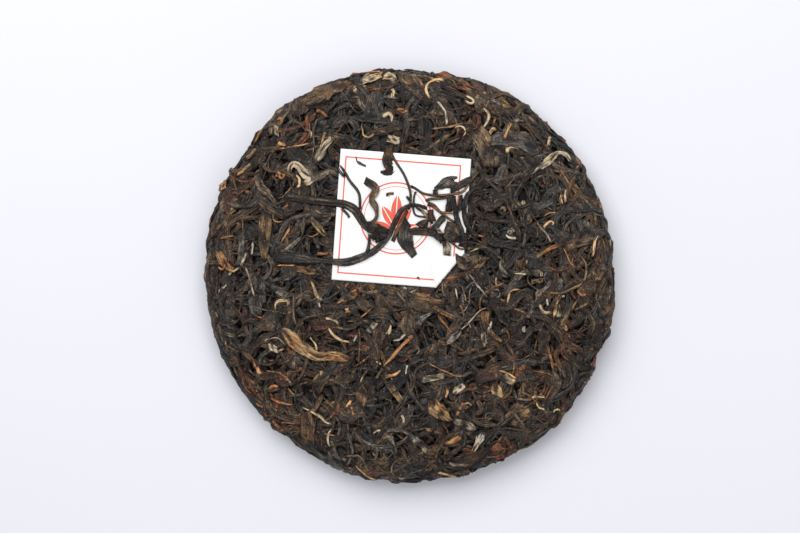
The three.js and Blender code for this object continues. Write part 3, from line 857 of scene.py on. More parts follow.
# Single pieces that stand out on the face: form, shade, warmth, width or widths along it, and
# the places it passes
HEAP_PIECES = [
    # Above the ticket
    ("leaf", 0.3, 0.1, 3.5, [(-26, 95), (-21.5, 88.5), (-16.5, 82.5), (-12.5, 76), (-7, 71.5)]),
    ("flat", 0.68, 0.25, 3, [(-22, 92), (-17, 94), (-12, 96)]),
    ("flat", 0.64, 0.25, [3, 4, 2], [(-12, 94.5), (-8, 94.5), (-5.5, 92)]),
    ("pod", 0.9, 0.5, 1.8, [(-7.7, 89), (-6.3, 87.2), (-7.3, 86), (-6.3, 84.6)]),
    ("pod", 0.74, 0.3, [2.2, 2.5, 2, 1], [(-11.8, 75), (-9, 77.3), (-7.3, 75.8), (-7.7, 72.6)]),
    ("flat", 0.58, 0.95, 2, [(-5, 79.5), (-3, 78.7), (0, 78)]),
    ("twig", 0.6, 0.55, 1.3,
     [(-21.3, 73), (-21, 67.5), (-18.7, 66), (-16.4, 67), (-15.6, 68.3)]),
    ("flat", 0.72, 0.25, 3.5, [(-9.7, 65.5), (-3, 64)]),
    ("pod", 0.78, 0.6, 1.6,
     [(17.6, 93), (14.1, 93.8), (10.5, 92), (8.7, 89.5), (9.3, 86.4), (11, 84)]),
    ("twig", 0.86, 0.1, 1.4, [(13.4, 83.4), (16.4, 80), (18.2, 77), (18.8, 73.3), (18, 71.7)]),
    ("pod", 0.84, 0.5, 1.3, [(27.4, 86.2), (30.3, 84.8), (31.3, 83.2), (29.5, 82.4), (27, 83.8)]),
    ("twig", 0.52, 0.5, 1.2, [(11, 70), (17, 70.7), (21, 71.5), (27, 72.7)]),
    ("flat", 0.35, 0.55, [5, 7, 5], [(0, 96), (4, 90), (8, 85)]),
    # Above the ticket on the left
    ("flat", 0.38, 0.6, [6, 9, 8, 5], [(-48, 84), (-42, 86), (-36, 89), (-30, 91.5)]),
    ("twig", 0.5, 0.95, 2, [(-43.5, 78), (-41, 77.8), (-38.3, 75.4)]),
    ("pod", 0.66, 1, 2.2, [(-62, 75), (-59.5, 73.8)]),
    ("flat", 0.58, 0.3, 2, [(-62, 72), (-62, 66.5)]),
    ("twig", 0.64, 0.9, [3, 2.4, 1.5], [(-61.7, 63.5), (-60, 62.7), (-57.3, 62)]),
    ("twig", 0.64, 0.7, 0.9, [(-61.3, 60.4), (-55.2, 61.2), (-46, 63)]),
    ("leaf", 0.68, 0.15, [2, 3, 4, 5, 2.5],
     [(-36.8, 68), (-36.4, 64.7), (-39.2, 61.5), (-41.2, 58), (-43.2, 54.4)]),
    ("twig", 0.55, 0.8, 2, [(-72, 61), (-74.5, 58), (-77, 56)]),
    ("flat", 0.74, 0.35, [2, 2.5, 3.5, 4, 4.5, 4, 2],
     [(-56, 49), (-54.8, 52.8), (-52.4, 53.2), (-50, 50.8), (-47.6, 48), (-46, 46), (-49, 43.5)]),
    ("pod", 0.82, 0.7, 1.6, [(-53, 48.5), (-51.2, 46.2), (-51, 43), (-52.4, 43)]),
    ("flat", 0.5, 0.9, 3, [(-62.2, 49), (-58, 47.2)]),
    ("leaf", 0.46, 0.3, [3, 5, 4, 1.5], [(-72, 49), (-70, 43.2), (-66, 39), (-62, 34)]),
    ("flat", 0.53, 0.65, 4, [(-89, 47), (-89, 41)]),
    # Above the ticket on the right
    ("pod", 0.78, 0.4, 1.6, [(35.6, 80.6), (38.1, 78.3), (38.7, 76), (37.1, 72), (34.8, 70)]),
    ("pod", 0.8, 0.55, 2.2, [(35.2, 65.7), (38.7, 68), (40.7, 70.7), (42.1, 69.4)]),
    ("twig", 0.66, 1, 1.8, [(49.8, 74), (47.8, 70.3), (45.7, 65.3)]),
    ("flat", 0.36, 0, [4, 7, 7, 8, 5],
     [(38.7, 64), (45.5, 65.5), (53.4, 64.7), (59.7, 62), (62.4, 62.3)]),
    ("flat", 0.4, 0.4, [7, 10, 9.5, 8], [(32.5, 70), (36, 64), (39, 58), (39.5, 52)]),
    ("pod", 0.78, 0.4, [2.6, 2, 1.2, 0.8], [(47, 58.8), (48.3, 61.6), (51, 61.6), (53.6, 60.8)]),
    ("leaf", 0.43, 0, 4, [(47.4, 54), (44.7, 50.5), (43.5, 47.3), (42, 44.5)]),
    ("flat", 0.74, 0.35, [1.5, 4, 2.5, 1.8, 2, 1.5],
     [(63, 52), (67.2, 55.6), (71.1, 58.8), (73.8, 59.8), (76.6, 58.4), (79, 55.6)]),
    ("pod", 0.76, 0.6, 1.8, [(68.2, 67.5), (67.6, 65.1), (67.4, 62.8)]),
    ("pod", 0.82, 0.65, 1.6, [(73.6, 39.4), (73.2, 37), (74, 34.7)]),
    ("pod", 0.68, 0.4, 1.4, [(75.4, 42), (75.1, 38.6), (75.4, 35.5)]),
    # To the left of the ticket
    ("flat", 0.52, 0.75, [3, 4.5, 4, 1.5], [(-91, 12.5), (-89, 8.5), (-86.3, 5), (-82.7, 2.5)]),
    ("leaf", 0.48, 0, 4, [(-79.5, 20), (-79.7, 14), (-80.3, 9.2), (-81.6, 5)]),
    ("twig", 0.7, 0.1, 1.5, [(-77.4, 11.6), (-78.7, 7.6), (-80, 4.8)]),
    ("flat", 0.34, 0.6, [5, 6.5, 6, 4, 1.5],
     [(-67.5, 29.5), (-67.5, 24), (-68, 18.5), (-68.3, 12.5), (-68.3, 7.5)]),
    ("twig", 0.48, 1, 1.6, [(-59, 31.7), (-56.6, 34.3)]),
    ("leaf", 0.35, 0, [2, 2.5, 2.6, 3, 3, 3, 3, 2],
     [(-65, 9), (-64, 13), (-61, 18.5), (-59, 23), (-56, 26.5), (-51, 29), (-45, 29.5), (-40, 28.5)]),
    ("flat", 0.54, 0.5, [1.5, 3.2, 3, 1.6, 0.5],
     [(-46, 28), (-43.2, 25.4), (-41.2, 22.6), (-39.6, 20.3), (-38.4, 19)]),
    ("twig", 0.5, 1, 0.8, [(-48, 20), (-45.5, 19), (-43.2, 20), (-41.6, 20.7)]),
    ("leaf", 0.57, 0.15, [1.5, 2.5, 2.8, 2, 1],
     [(-50, 19), (-52.7, 16.7), (-55.8, 14), (-58.6, 12.3), (-61.4, 12.1)]),
    ("twig", 0.5, 0.85, 2, [(-43, 10.8), (-37, 11.3)]),
    ("twig", 0.58, 0.95, 0.9, [(-62.4, 5.2), (-58.6, 5.5), (-53, 5.4)]),
    ("flat", 0.36, 0.75, 3, [(-53.5, 4), (-49, 3.2), (-43, 2.6)]),
    ("twig", 0.7, 0.05, [0.8, 2, 2, 0.8], [(-74, 17), (-74.2, 15), (-74.2, 12), (-74.3, 10)]),
    ("twig", 0.54, 0.2, 1.2, [(-78, 5.2), (-76, 1.3), (-74.8, -3.5), (-73.3, -10)]),
    ("twig", 0.5, 1, 1, [(-90.3, 18), (-87.2, 18.7), (-83.1, 19.4)]),
    ("pod", 0.88, 0.7, [0.8, 1.2, 1.8, 1.8, 1.6, 1.6, 1],
     [(-62.8, -16.2), (-63, -14.2), (-61.8, -11.8), (-59, -11.2), (-57.4, -11.3), (-56.6, -12.6),
      (-57.4, -14.6)]),
    ("leaf", 0.18, 0, 3, [(-60.3, -14), (-60.5, -17), (-60.6, -20)]),
    ("twig", 0.47, 0.3, 1.3, [(-54, -8), (-54.2, -13.5), (-54.2, -19.3), (-53, -23.3)]),
    ("pod", 0.8, 0.15, 1, [(-42, -12.2), (-41.4, -14.6)]),
    ("pod", 0.76, 0.6, 1.1, [(-91.5, -6.2), (-91, -8.3)]),
    ("pod", 0.66, 0.35, 1.2, [(-89.4, -6), (-87.2, -4)]),
    # Below it on the left
    ("pod", 0.86, 0.65, [0.8, 1.6, 1.8, 1.5, 0.8],
     [(-37.6, -23.7), (-36, -26.5), (-33.8, -28.7), (-30.7, -30.4), (-27, -31.6)]),
    ("pod", 0.66, 0.35, 1.6, [(-39.2, -19.7), (-35.2, -20.5), (-32.1, -22.3)]),
    ("flat", 0.56, 0.7, [1.5, 5, 7, 6.5, 4.5, 4.8, 4.5, 3],
     [(-61, -25.7), (-58, -27), (-55, -30), (-49, -35), (-43, -38), (-37, -37.5), (-30.5, -38.7),
      (-27.3, -40)]),
    ("pod", 0.8, 0.55, 1.2, [(-46.7, -28.8), (-44, -32.4), (-43.2, -35.5)]),
    ("twig", 0.6, 0.1, 1.2,
     [(-67.5, -32.5), (-68, -30.5), (-66, -29.7), (-63, -29.5), (-60.6, -30.2), (-58, -33.5)]),
    ("flat", 0.76, 0.3, [2, 3.3, 2.5], [(-67.3, -32.5), (-64.6, -34), (-61.8, -35.5)]),
    ("leaf", 0.42, 0.65, [1.2, 2.5, 2.5, 2, 1.2],
     [(-81.2, -36), (-78.3, -38), (-75.8, -40), (-73.8, -43), (-73, -45)]),
    ("pod", 0.66, 1, 2.2, [(-73, -43.7), (-71.8, -46.2), (-70.7, -47.3)]),
    ("twig", 0.5, 0.6, 1, [(-69.3, -45.8), (-65.8, -46), (-61.3, -46.4), (-59.7, -47.6)]),
    ("leaf", 0.6, 0.05, 2, [(-59.7, -47.6), (-57, -50.5), (-55.3, -52.5)]),
    ("leaf", 0.39, 0.4, 2, [(-48, -38.5), (-48.5, -42), (-50, -45.8), (-52, -49), (-53.2, -50.8)]),
    ("twig", 0.66, 0.6, 0.9, [(-52, -52), (-50, -51.3), (-48, -51)]),
    ("pod", 0.56, 1, 1.6, [(-66.3, -55), (-66, -53.3), (-64, -53), (-62.3, -53.5)]),
    ("twig", 0.5, 0.85, [0.8, 1.6, 1.6, 0.8],
     [(-67, -59), (-63.4, -60.3), (-59.2, -61.4), (-54.5, -62)]),
    ("pod", 0.66, 1, 1.3, [(-75, -62.7), (-72.8, -63.7), (-70.8, -64.4)]),
    ("leaf", 0.48, 0.75, 1.6, [(-66.6, -69.7), (-65.3, -72.2), (-62.8, -74), (-59.4, -75.6)]),
    ("pod", 0.76, 0.4, [0.8, 0.9, 1.6, 2, 1.4, 0.8],
     [(-51.7, -63), (-47.6, -64.5), (-44, -66), (-41.2, -67.7), (-39.2, -69.8), (-35.5, -71.4)]),
    ("flat", 0.31, 0.65, [5, 7, 6, 3], [(-49, -65), (-48, -71.3), (-47.7, -78), (-47, -83)]),
    ("twig", 0.76, 0.3, 1.5, [(-36.2, -73), (-38, -75.6), (-38.3, -79), (-37.4, -82.2)]),
    ("leaf", 0.48, 1, 1.6, [(-37.5, -68), (-35.5, -65.5), (-33, -64), (-30.5, -63)]),
    # Below it
    ("flat", 0.27, 0.5, [6, 8, 8.5, 8, 6],
     [(-17, -5.8), (-8, -8.6), (1, -10.8), (10, -12.6), (18, -14)]),
    ("flat", 0.29, 0.45, [4, 6, 6, 5], [(-24, -9.5), (-19, -14), (-13, -16.5), (-7, -17.5)]),
    ("pod", 0.92, 0.6, [1.2, 1.8, 2.8], [(-7.6, -22.5), (-8.4, -25), (-9.5, -27.3)]),
    ("twig", 0.56, 0.95, [2, 2.2, 2.3, 2.2, 1.9],
     [(2.2, -28.4), (-1, -31.4), (-4.5, -35), (-8, -39), (-11.5, -43)]),
    ("pod", 0.47, 1, 1.9, [(0.4, -28.8), (3.1, -28)]),
    ("twig", 0.33, 0.65, 1.8, [(-11.5, -43), (-13, -45.5), (-14.7, -48.6)]),
    ("pod", 0.78, 0.25, [1.4, 1.8, 1.2, 0.6],
     [(-0.4, -26.9), (-2, -28), (-3.6, -29.6), (-6.8, -30.2)]),
    ("pod", 0.76, 0.95, [1.8, 1.9, 1.8, 1],
     [(-10.7, -47.6), (-7.6, -46.7), (-4.8, -45.6), (-2.8, -43.6)]),
    ("twig", 0.8, 0.1, 1, [(0.4, -41.5), (-0.4, -44), (-0.6, -46.3)]),
    ("pod", 0.84, 0.5, 1, [(-14.7, -40), (-12.3, -41.6)]),
    ("leaf", 0.6, 0.05, [2.5, 3.2, 2.8, 1.6, 0.8],
     [(5.5, -23.5), (5.8, -21.3), (8.3, -18.9), (10.7, -17.2), (12.8, -16.5)]),
    ("twig", 0.44, 0.75, 1.6,
     [(14.6, -17), (16.6, -20.1), (19, -23.7), (20.2, -25.3), (22.6, -26.1)]),
    ("leaf", 0.46, 0.65, 2.5, [(12, -13.4), (17, -16.6), (21, -18.5), (23.7, -19.8)]),
    ("twig", 0.68, 0.1, 1.1, [(34.5, -15.8), (32.9, -17.7), (28.9, -21.7), (25.5, -25)]),
    ("flat", 0.6, 0, [1.5, 3, 3.2, 1.5], [(25.2, -25.2), (23, -27.4), (21, -29.6), (18.2, -31.4)]),
    ("twig", 0.84, 0.3, 0.9, [(23, -4.3), (23.5, -8.6), (23.9, -11)]),
    ("twig", 0.57, 0.75, 0.8, [(26.1, -4), (27, -7.8), (28, -11.4)]),
    ("twig", 0.46, 0.4, 1,
     [(30.5, -4.7), (29.7, -7.8), (29.5, -11.8), (27.3, -15.6), (24.5, -17.3)]),
    ("twig", 0.54, 0.8, 0.9,
     [(9.1, -40), (12.3, -41.6), (17, -44), (21, -46), (23.4, -46.7), (29, -46.7)]),
    ("flat", 0.66, 0.2, 3, [(6.7, -49), (11.1, -47.8), (18, -46.5)]),
    ("leaf", 0.45, 0, 2.3, [(-18.6, -19), (-14, -18.5), (-9.1, -19), (-6.7, -21.3), (-6.4, -23.5)]),
    ("flat", 0.6, 0, 2.6, [(-14.7, -21.5), (-17, -24.1), (-18.6, -26.5)]),
    ("pod", 0.62, 0.95, 2.4, [(-28.7, -14.6), (-27.9, -17.1)]),
    ("pod", 0.53, 1, 1.4, [(-26.5, -7.4), (-23.8, -6)]),
    ("pod", 0.53, 1, 1.3, [(-33, -12.6), (-30.1, -10.4)]),
    ("pod", 0.7, 0, 1.2, [(-23.8, -27.6), (-25.6, -30.8)]),
    ("twig", 0.48, 0.75, 0.9, [(-15, -13.4), (-18.2, -16.2), (-22.2, -19.3)]),
    ("twig", 0.35, 0.8, 1, [(-23, -24), (-22.6, -29.6), (-22.6, -35.6), (-23, -41.5)]),
    ("pod", 0.56, 1, 1.4, [(9.5, -9), (11.1, -8.2)]),
    ("pod", 0.68, 0.1, 1.6, [(-2, -4.9), (0.4, -5.7)]),
    ("pod", 0.74, 0.1, 1, [(1.5, -7.2), (4.7, -6)]),
    # To the right
    ("pod", 0.82, 0.65, 1.2, [(43.5, 32.3), (45.1, 33.1), (46.3, 32.9), (46.3, 30.7)]),
    ("leaf", 0.2, 0, [3, 4.5, 4.5, 3], [(37.6, 19.1), (40.7, 16.7), (46.3, 15.9), (52, 16.7)]),
    ("pod", 0.86, 0.25, 1.7, [(46.7, 20.3), (47.9, 19.1), (49.8, 18.7), (52.2, 18.9)]),
    ("flat", 0.7, 0, 2.2, [(48, 20.7), (49.5, 22.2), (50.6, 23)]),
    ("twig", 0.47, 0.75, 1.5, [(29, 21.6), (31.2, 20.6), (36.8, 19.1)]),
    ("twig", 0.58, 0.2, 0.9, [(29.8, 12), (32, 13.1), (34, 13.9)]),
    ("pod", 0.82, 0.65, [1.9, 1.8, 1.4, 1.4, 1.2],
     [(64.5, 23.4), (66, 25.2), (67.6, 26.4), (69.2, 26.2), (69, 24.6)]),
    ("twig", 0.6, 0.2, 1.2,
     [(62.5, 27.2), (62, 25.5), (63.4, 23.5), (65.4, 21.6), (67.4, 18.4), (68.6, 16)]),
    ("twig", 0.66, 0.7, 1, [(65, 29), (66.8, 30.5), (69, 30.7), (72, 30.5)]),
    ("twig", 0.52, 0.8, 2.4, [(60.4, 9.2), (64.5, 11.7), (68.2, 14), (71.8, 15.2)]),
    ("flat", 0.33, 0.55, [3, 4.5, 4, 2], [(74.3, 13.2), (78.3, 15.7), (83.5, 16.6), (89, 17.2)]),
    ("leaf", 0.37, 0.6, 2, [(89, 30.7), (89.5, 25), (90, 19.2)]),
    ("leaf", 0.25, 0, [3, 4, 4, 3.5, 3, 2],
     [(96, 31), (88.7, 32.7), (80.3, 32.4), (74.8, 31.3), (71.4, 28.4), (71, 23.2)]),
    ("twig", 0.6, 0.9, 1.1, [(74, 14), (75.7, 11), (77.3, 7.3), (79.8, 4.9)]),
    ("twig", 0.48, 0.6, [1.2, 1.4, 1.6, 1.8, 1.8, 1.6, 1.4],
     [(81.7, 11.3), (85, 6.1), (85, 1.6), (83.3, -2.8), (77.8, -5.6), (72.3, -7.5), (65.2, -6.7)]),
    ("twig", 0.82, 0.25, 1, [(50.6, 2), (53.6, 1.7), (56.6, 1.6)]),
    ("flat", 0.53, 0.05, [1, 3, 3, 1.5], [(45.3, 9), (44.7, 5.6), (45.5, 2.4), (48, 0)]),
    ("flat", 0.4, 0.6, [1.5, 2.5, 3.5], [(37.2, 10), (35.2, 6.4), (32.4, 3.2)]),
    ("pod", 0.78, 0.4, 1.7, [(63.5, 2.6), (63.7, 0.4)]),
    ("flat", 0.5, 0.4, 2.2, [(58.8, -2.3), (64.8, -0.8)]),
    ("twig", 0.46, 0.05, 0.9, [(69.2, 2.4), (67.2, 3.2), (65.2, 1.2), (65.5, -1.5), (67.6, -3.1)]),
    ("twig", 0.7, 0.1, 1.1, [(29, 2.2), (31, 0), (33.2, -3.5), (36, -6.7), (38, -9.5)]),
    ("twig", 0.68, 0.5, [0.8, 1, 1.4, 1.6, 0.8],
     [(54, -5.9), (50.6, -5.5), (48.5, -7.1), (48, -9.5), (47.5, -13)]),
    ("twig", 0.56, 0.2, 0.9, [(40.8, -6.3), (42.7, -5.7), (44, -7.5), (43.5, -9), (42, -9.4)]),
    ("flat", 0.6, 0.4, 2, [(62.4, -6.9), (63.2, -9.4)]),
    ("pod", 0.74, 0.35, 1.8, [(62.8, -12.3), (63.5, -15), (65, -16.5), (69, -16.4)]),
    ("pod", 0.84, 0, 1.4, [(66, -10), (66.8, -13.5)]),
    ("flat", 0.55, 1, [2, 3.5, 2], [(82, -4.4), (82.5, -7.1), (85, -8.4)]),
    ("pod", 0.8, 0, 1.4, [(73.4, -8.8), (74.8, -8.8)]),
    ("leaf", 0.46, 0.6, [1.4, 2, 1], [(88.6, -10.5), (84.6, -12.9), (79, -15.7)]),
    ("flat", 0.57, 0.15, 2.2, [(71.5, -13), (72, -16.2), (71.3, -19)]),
    ("leaf", 0.56, 0.2, 2, [(60, -13), (58.4, -16.7), (56.8, -19.4)]),
    ("pod", 0.57, 0.6, [1.5, 2.8, 1.5], [(73.5, -21.2), (74.7, -23.7), (75.5, -25.7)]),
    ("pod", 0.64, 0.15, 2, [(55, -23), (55.2, -25.9)]),
    ("flat", 0.37, 0.65, [4.5, 4, 3, 2.5, 2],
     [(37.2, -15.8), (36.8, -19.3), (37.6, -23.3), (40.6, -27.3), (45.4, -29.8)]),
    ("flat", 0.6, 0.05, 2.2, [(36, -25.8), (36.4, -29), (37.4, -32.2)]),
    ("twig", 0.6, 0.2, 1, [(27.3, -23), (31.2, -19.4), (34.6, -16), (38.2, -14.3)]),
    ("twig", 0.65, 0.7, 1.2, [(42.3, 0.4), (42.1, -2), (42.7, -4)]),
    # Near the lower edge
    ("pod", 0.74, 0.85, [1.4, 2, 1.2], [(-26.6, -58.8), (-28, -60.8), (-28.6, -62.4)]),
    ("flat", 0.35, 0.7, [5, 6, 4], [(-23, -52.3), (-21.5, -57), (-22.7, -62)]),
    ("twig", 0.58, 0.9, 1.1, [(-26.6, -61.6), (-25.5, -66.4)]),
    ("flat", 0.44, 0.75, [3.5, 3.5, 3, 1.5],
     [(-8.7, -51), (-6, -54.2), (-3.6, -57.4), (-1.6, -60.3)]),
    ("pod", 0.82, 0.35, 1.4, [(-2.8, -65.5), (-1.6, -67.5), (-2, -69.6)]),
    ("flat", 0.49, 0.6, [5, 7.5, 5, 1.5],
     [(11.7, -58.2), (14, -62.3), (17.6, -65.5), (20.8, -68.6)]),
    ("flat", 0.8, 0.25, [2, 3.4, 2.5], [(22.3, -55.3), (24, -53), (27, -50.6)]),
    ("pod", 0.64, 0.75, [1.2, 1.8, 1], [(18.7, -52.5), (19, -54.6), (17.8, -57.8)]),
    ("leaf", 0.23, 0, 2.4,
     [(15.8, -54.7), (19.5, -59.5), (24.4, -63.2), (29.2, -67), (34.9, -70.2)]),
    ("leaf", 0.37, 0.65, 2.2, [(17.5, -58.7), (23.2, -60.4), (30, -62)]),
    ("flat", 0.57, 0.2, [2.5, 3.5, 4, 3], [(22, -68), (25.3, -69), (29.3, -70.3), (31.3, -72.8)]),
    ("flat", 0.74, 0.35, [1.2, 3, 3], [(30.6, -83), (33, -78.5), (34.6, -75)]),
    ("leaf", 0.46, 0.05, 2.2, [(-10.8, -74.3), (-6.9, -72.7), (-0.8, -73.5), (4.8, -78)]),
    ("flat", 0.54, 0.1, [3.5, 3, 2], [(3.2, -76), (7.3, -80.5), (9.4, -83)]),
    ("pod", 0.86, 0.6, 1.2, [(-16.5, -75), (-14.5, -73.5), (-12.5, -73)]),
    ("flat", 0.47, 0.8, 1.7, [(7.2, -71.8), (11.2, -72.5), (15.6, -73.6)]),
    ("pod", 0.53, 0.8, [1.2, 2.8, 3.5, 2],
     [(17.3, -78.8), (20.6, -78.4), (24.3, -76.6), (25.5, -75)]),
    ("leaf", 0.25, 0.1, 1.8, [(27, -72.8), (27, -79), (22.8, -83), (18.7, -86)]),
    ("leaf", 0.58, 0.3, [1, 2, 2, 0.8], [(19.3, -88.3), (21.8, -89.5), (25, -89.7), (28, -88.5)]),
    ("twig", 0.43, 0.1, 1.6,
     [(-4.6, -87.2), (-7, -89.6), (-7.5, -93.5), (-5, -96.7), (-1.7, -96.7), (0.4, -94.6)]),
    ("twig", 0.62, 0.4, [1.2, 1.4, 1.4, 1],
     [(-25.3, -90.5), (-22.9, -93.3), (-20.1, -96), (-14.7, -98.5)]),
    ("twig", 0.45, 0.1, 1.5,
     [(-27.2, -87), (-24.2, -86), (-21.8, -87.7), (-19.4, -92), (-17.8, -93.6)]),
    ("twig", 0.5, 0.8, 1.6, [(66, -31.8), (67, -35.7), (68.3, -40.6), (69.2, -43.9)]),
    ("flat", 0.62, 0.6, [4, 6, 2], [(40, -50.8), (43, -54.1), (45.8, -56.6)]),
    ("flat", 0.53, 0.2, [5, 4.5, 3], [(41.5, -45.2), (46, -47.5), (51, -50)]),
    ("twig", 0.7, 0.8, 1.2, [(43, -43.9), (47.2, -45.1), (51.5, -48.2)]),
    ("pod", 0.82, 0.6, 1.4, [(58.5, -57), (60.5, -56.2), (63, -56.3), (65.1, -56.4)]),
    ("pod", 0.8, 0.65, 1.1, [(61, -59), (62, -61.4), (64.8, -62.4)]),
    ("twig", 0.56, 0.2, 1.4, [(51.6, -57.6), (59, -57.6)]),
    ("leaf", 0.47, 0.3, 1.8,
     [(31.2, -63), (32, -67.2), (35.4, -69.9), (39.5, -70), (43.2, -69.9), (46, -65)]),
    ("flat", 0.53, 0.9, 2.5, [(72, -72.5), (78, -71)]),
    ("leaf", 0.48, 0.5, 2.5, [(92, -44.5), (92.6, -48.3), (91, -52.7), (89, -57.5)]),
    ("leaf", 0.34, 0.5, 3, [(29.6, -38.5), (35.5, -36.2), (41.8, -33.4)]),
    ("flat", 0.72, 0.1, [3, 3.5, 2.5], [(36, -74), (33.3, -79.2), (31.7, -82)]),
]

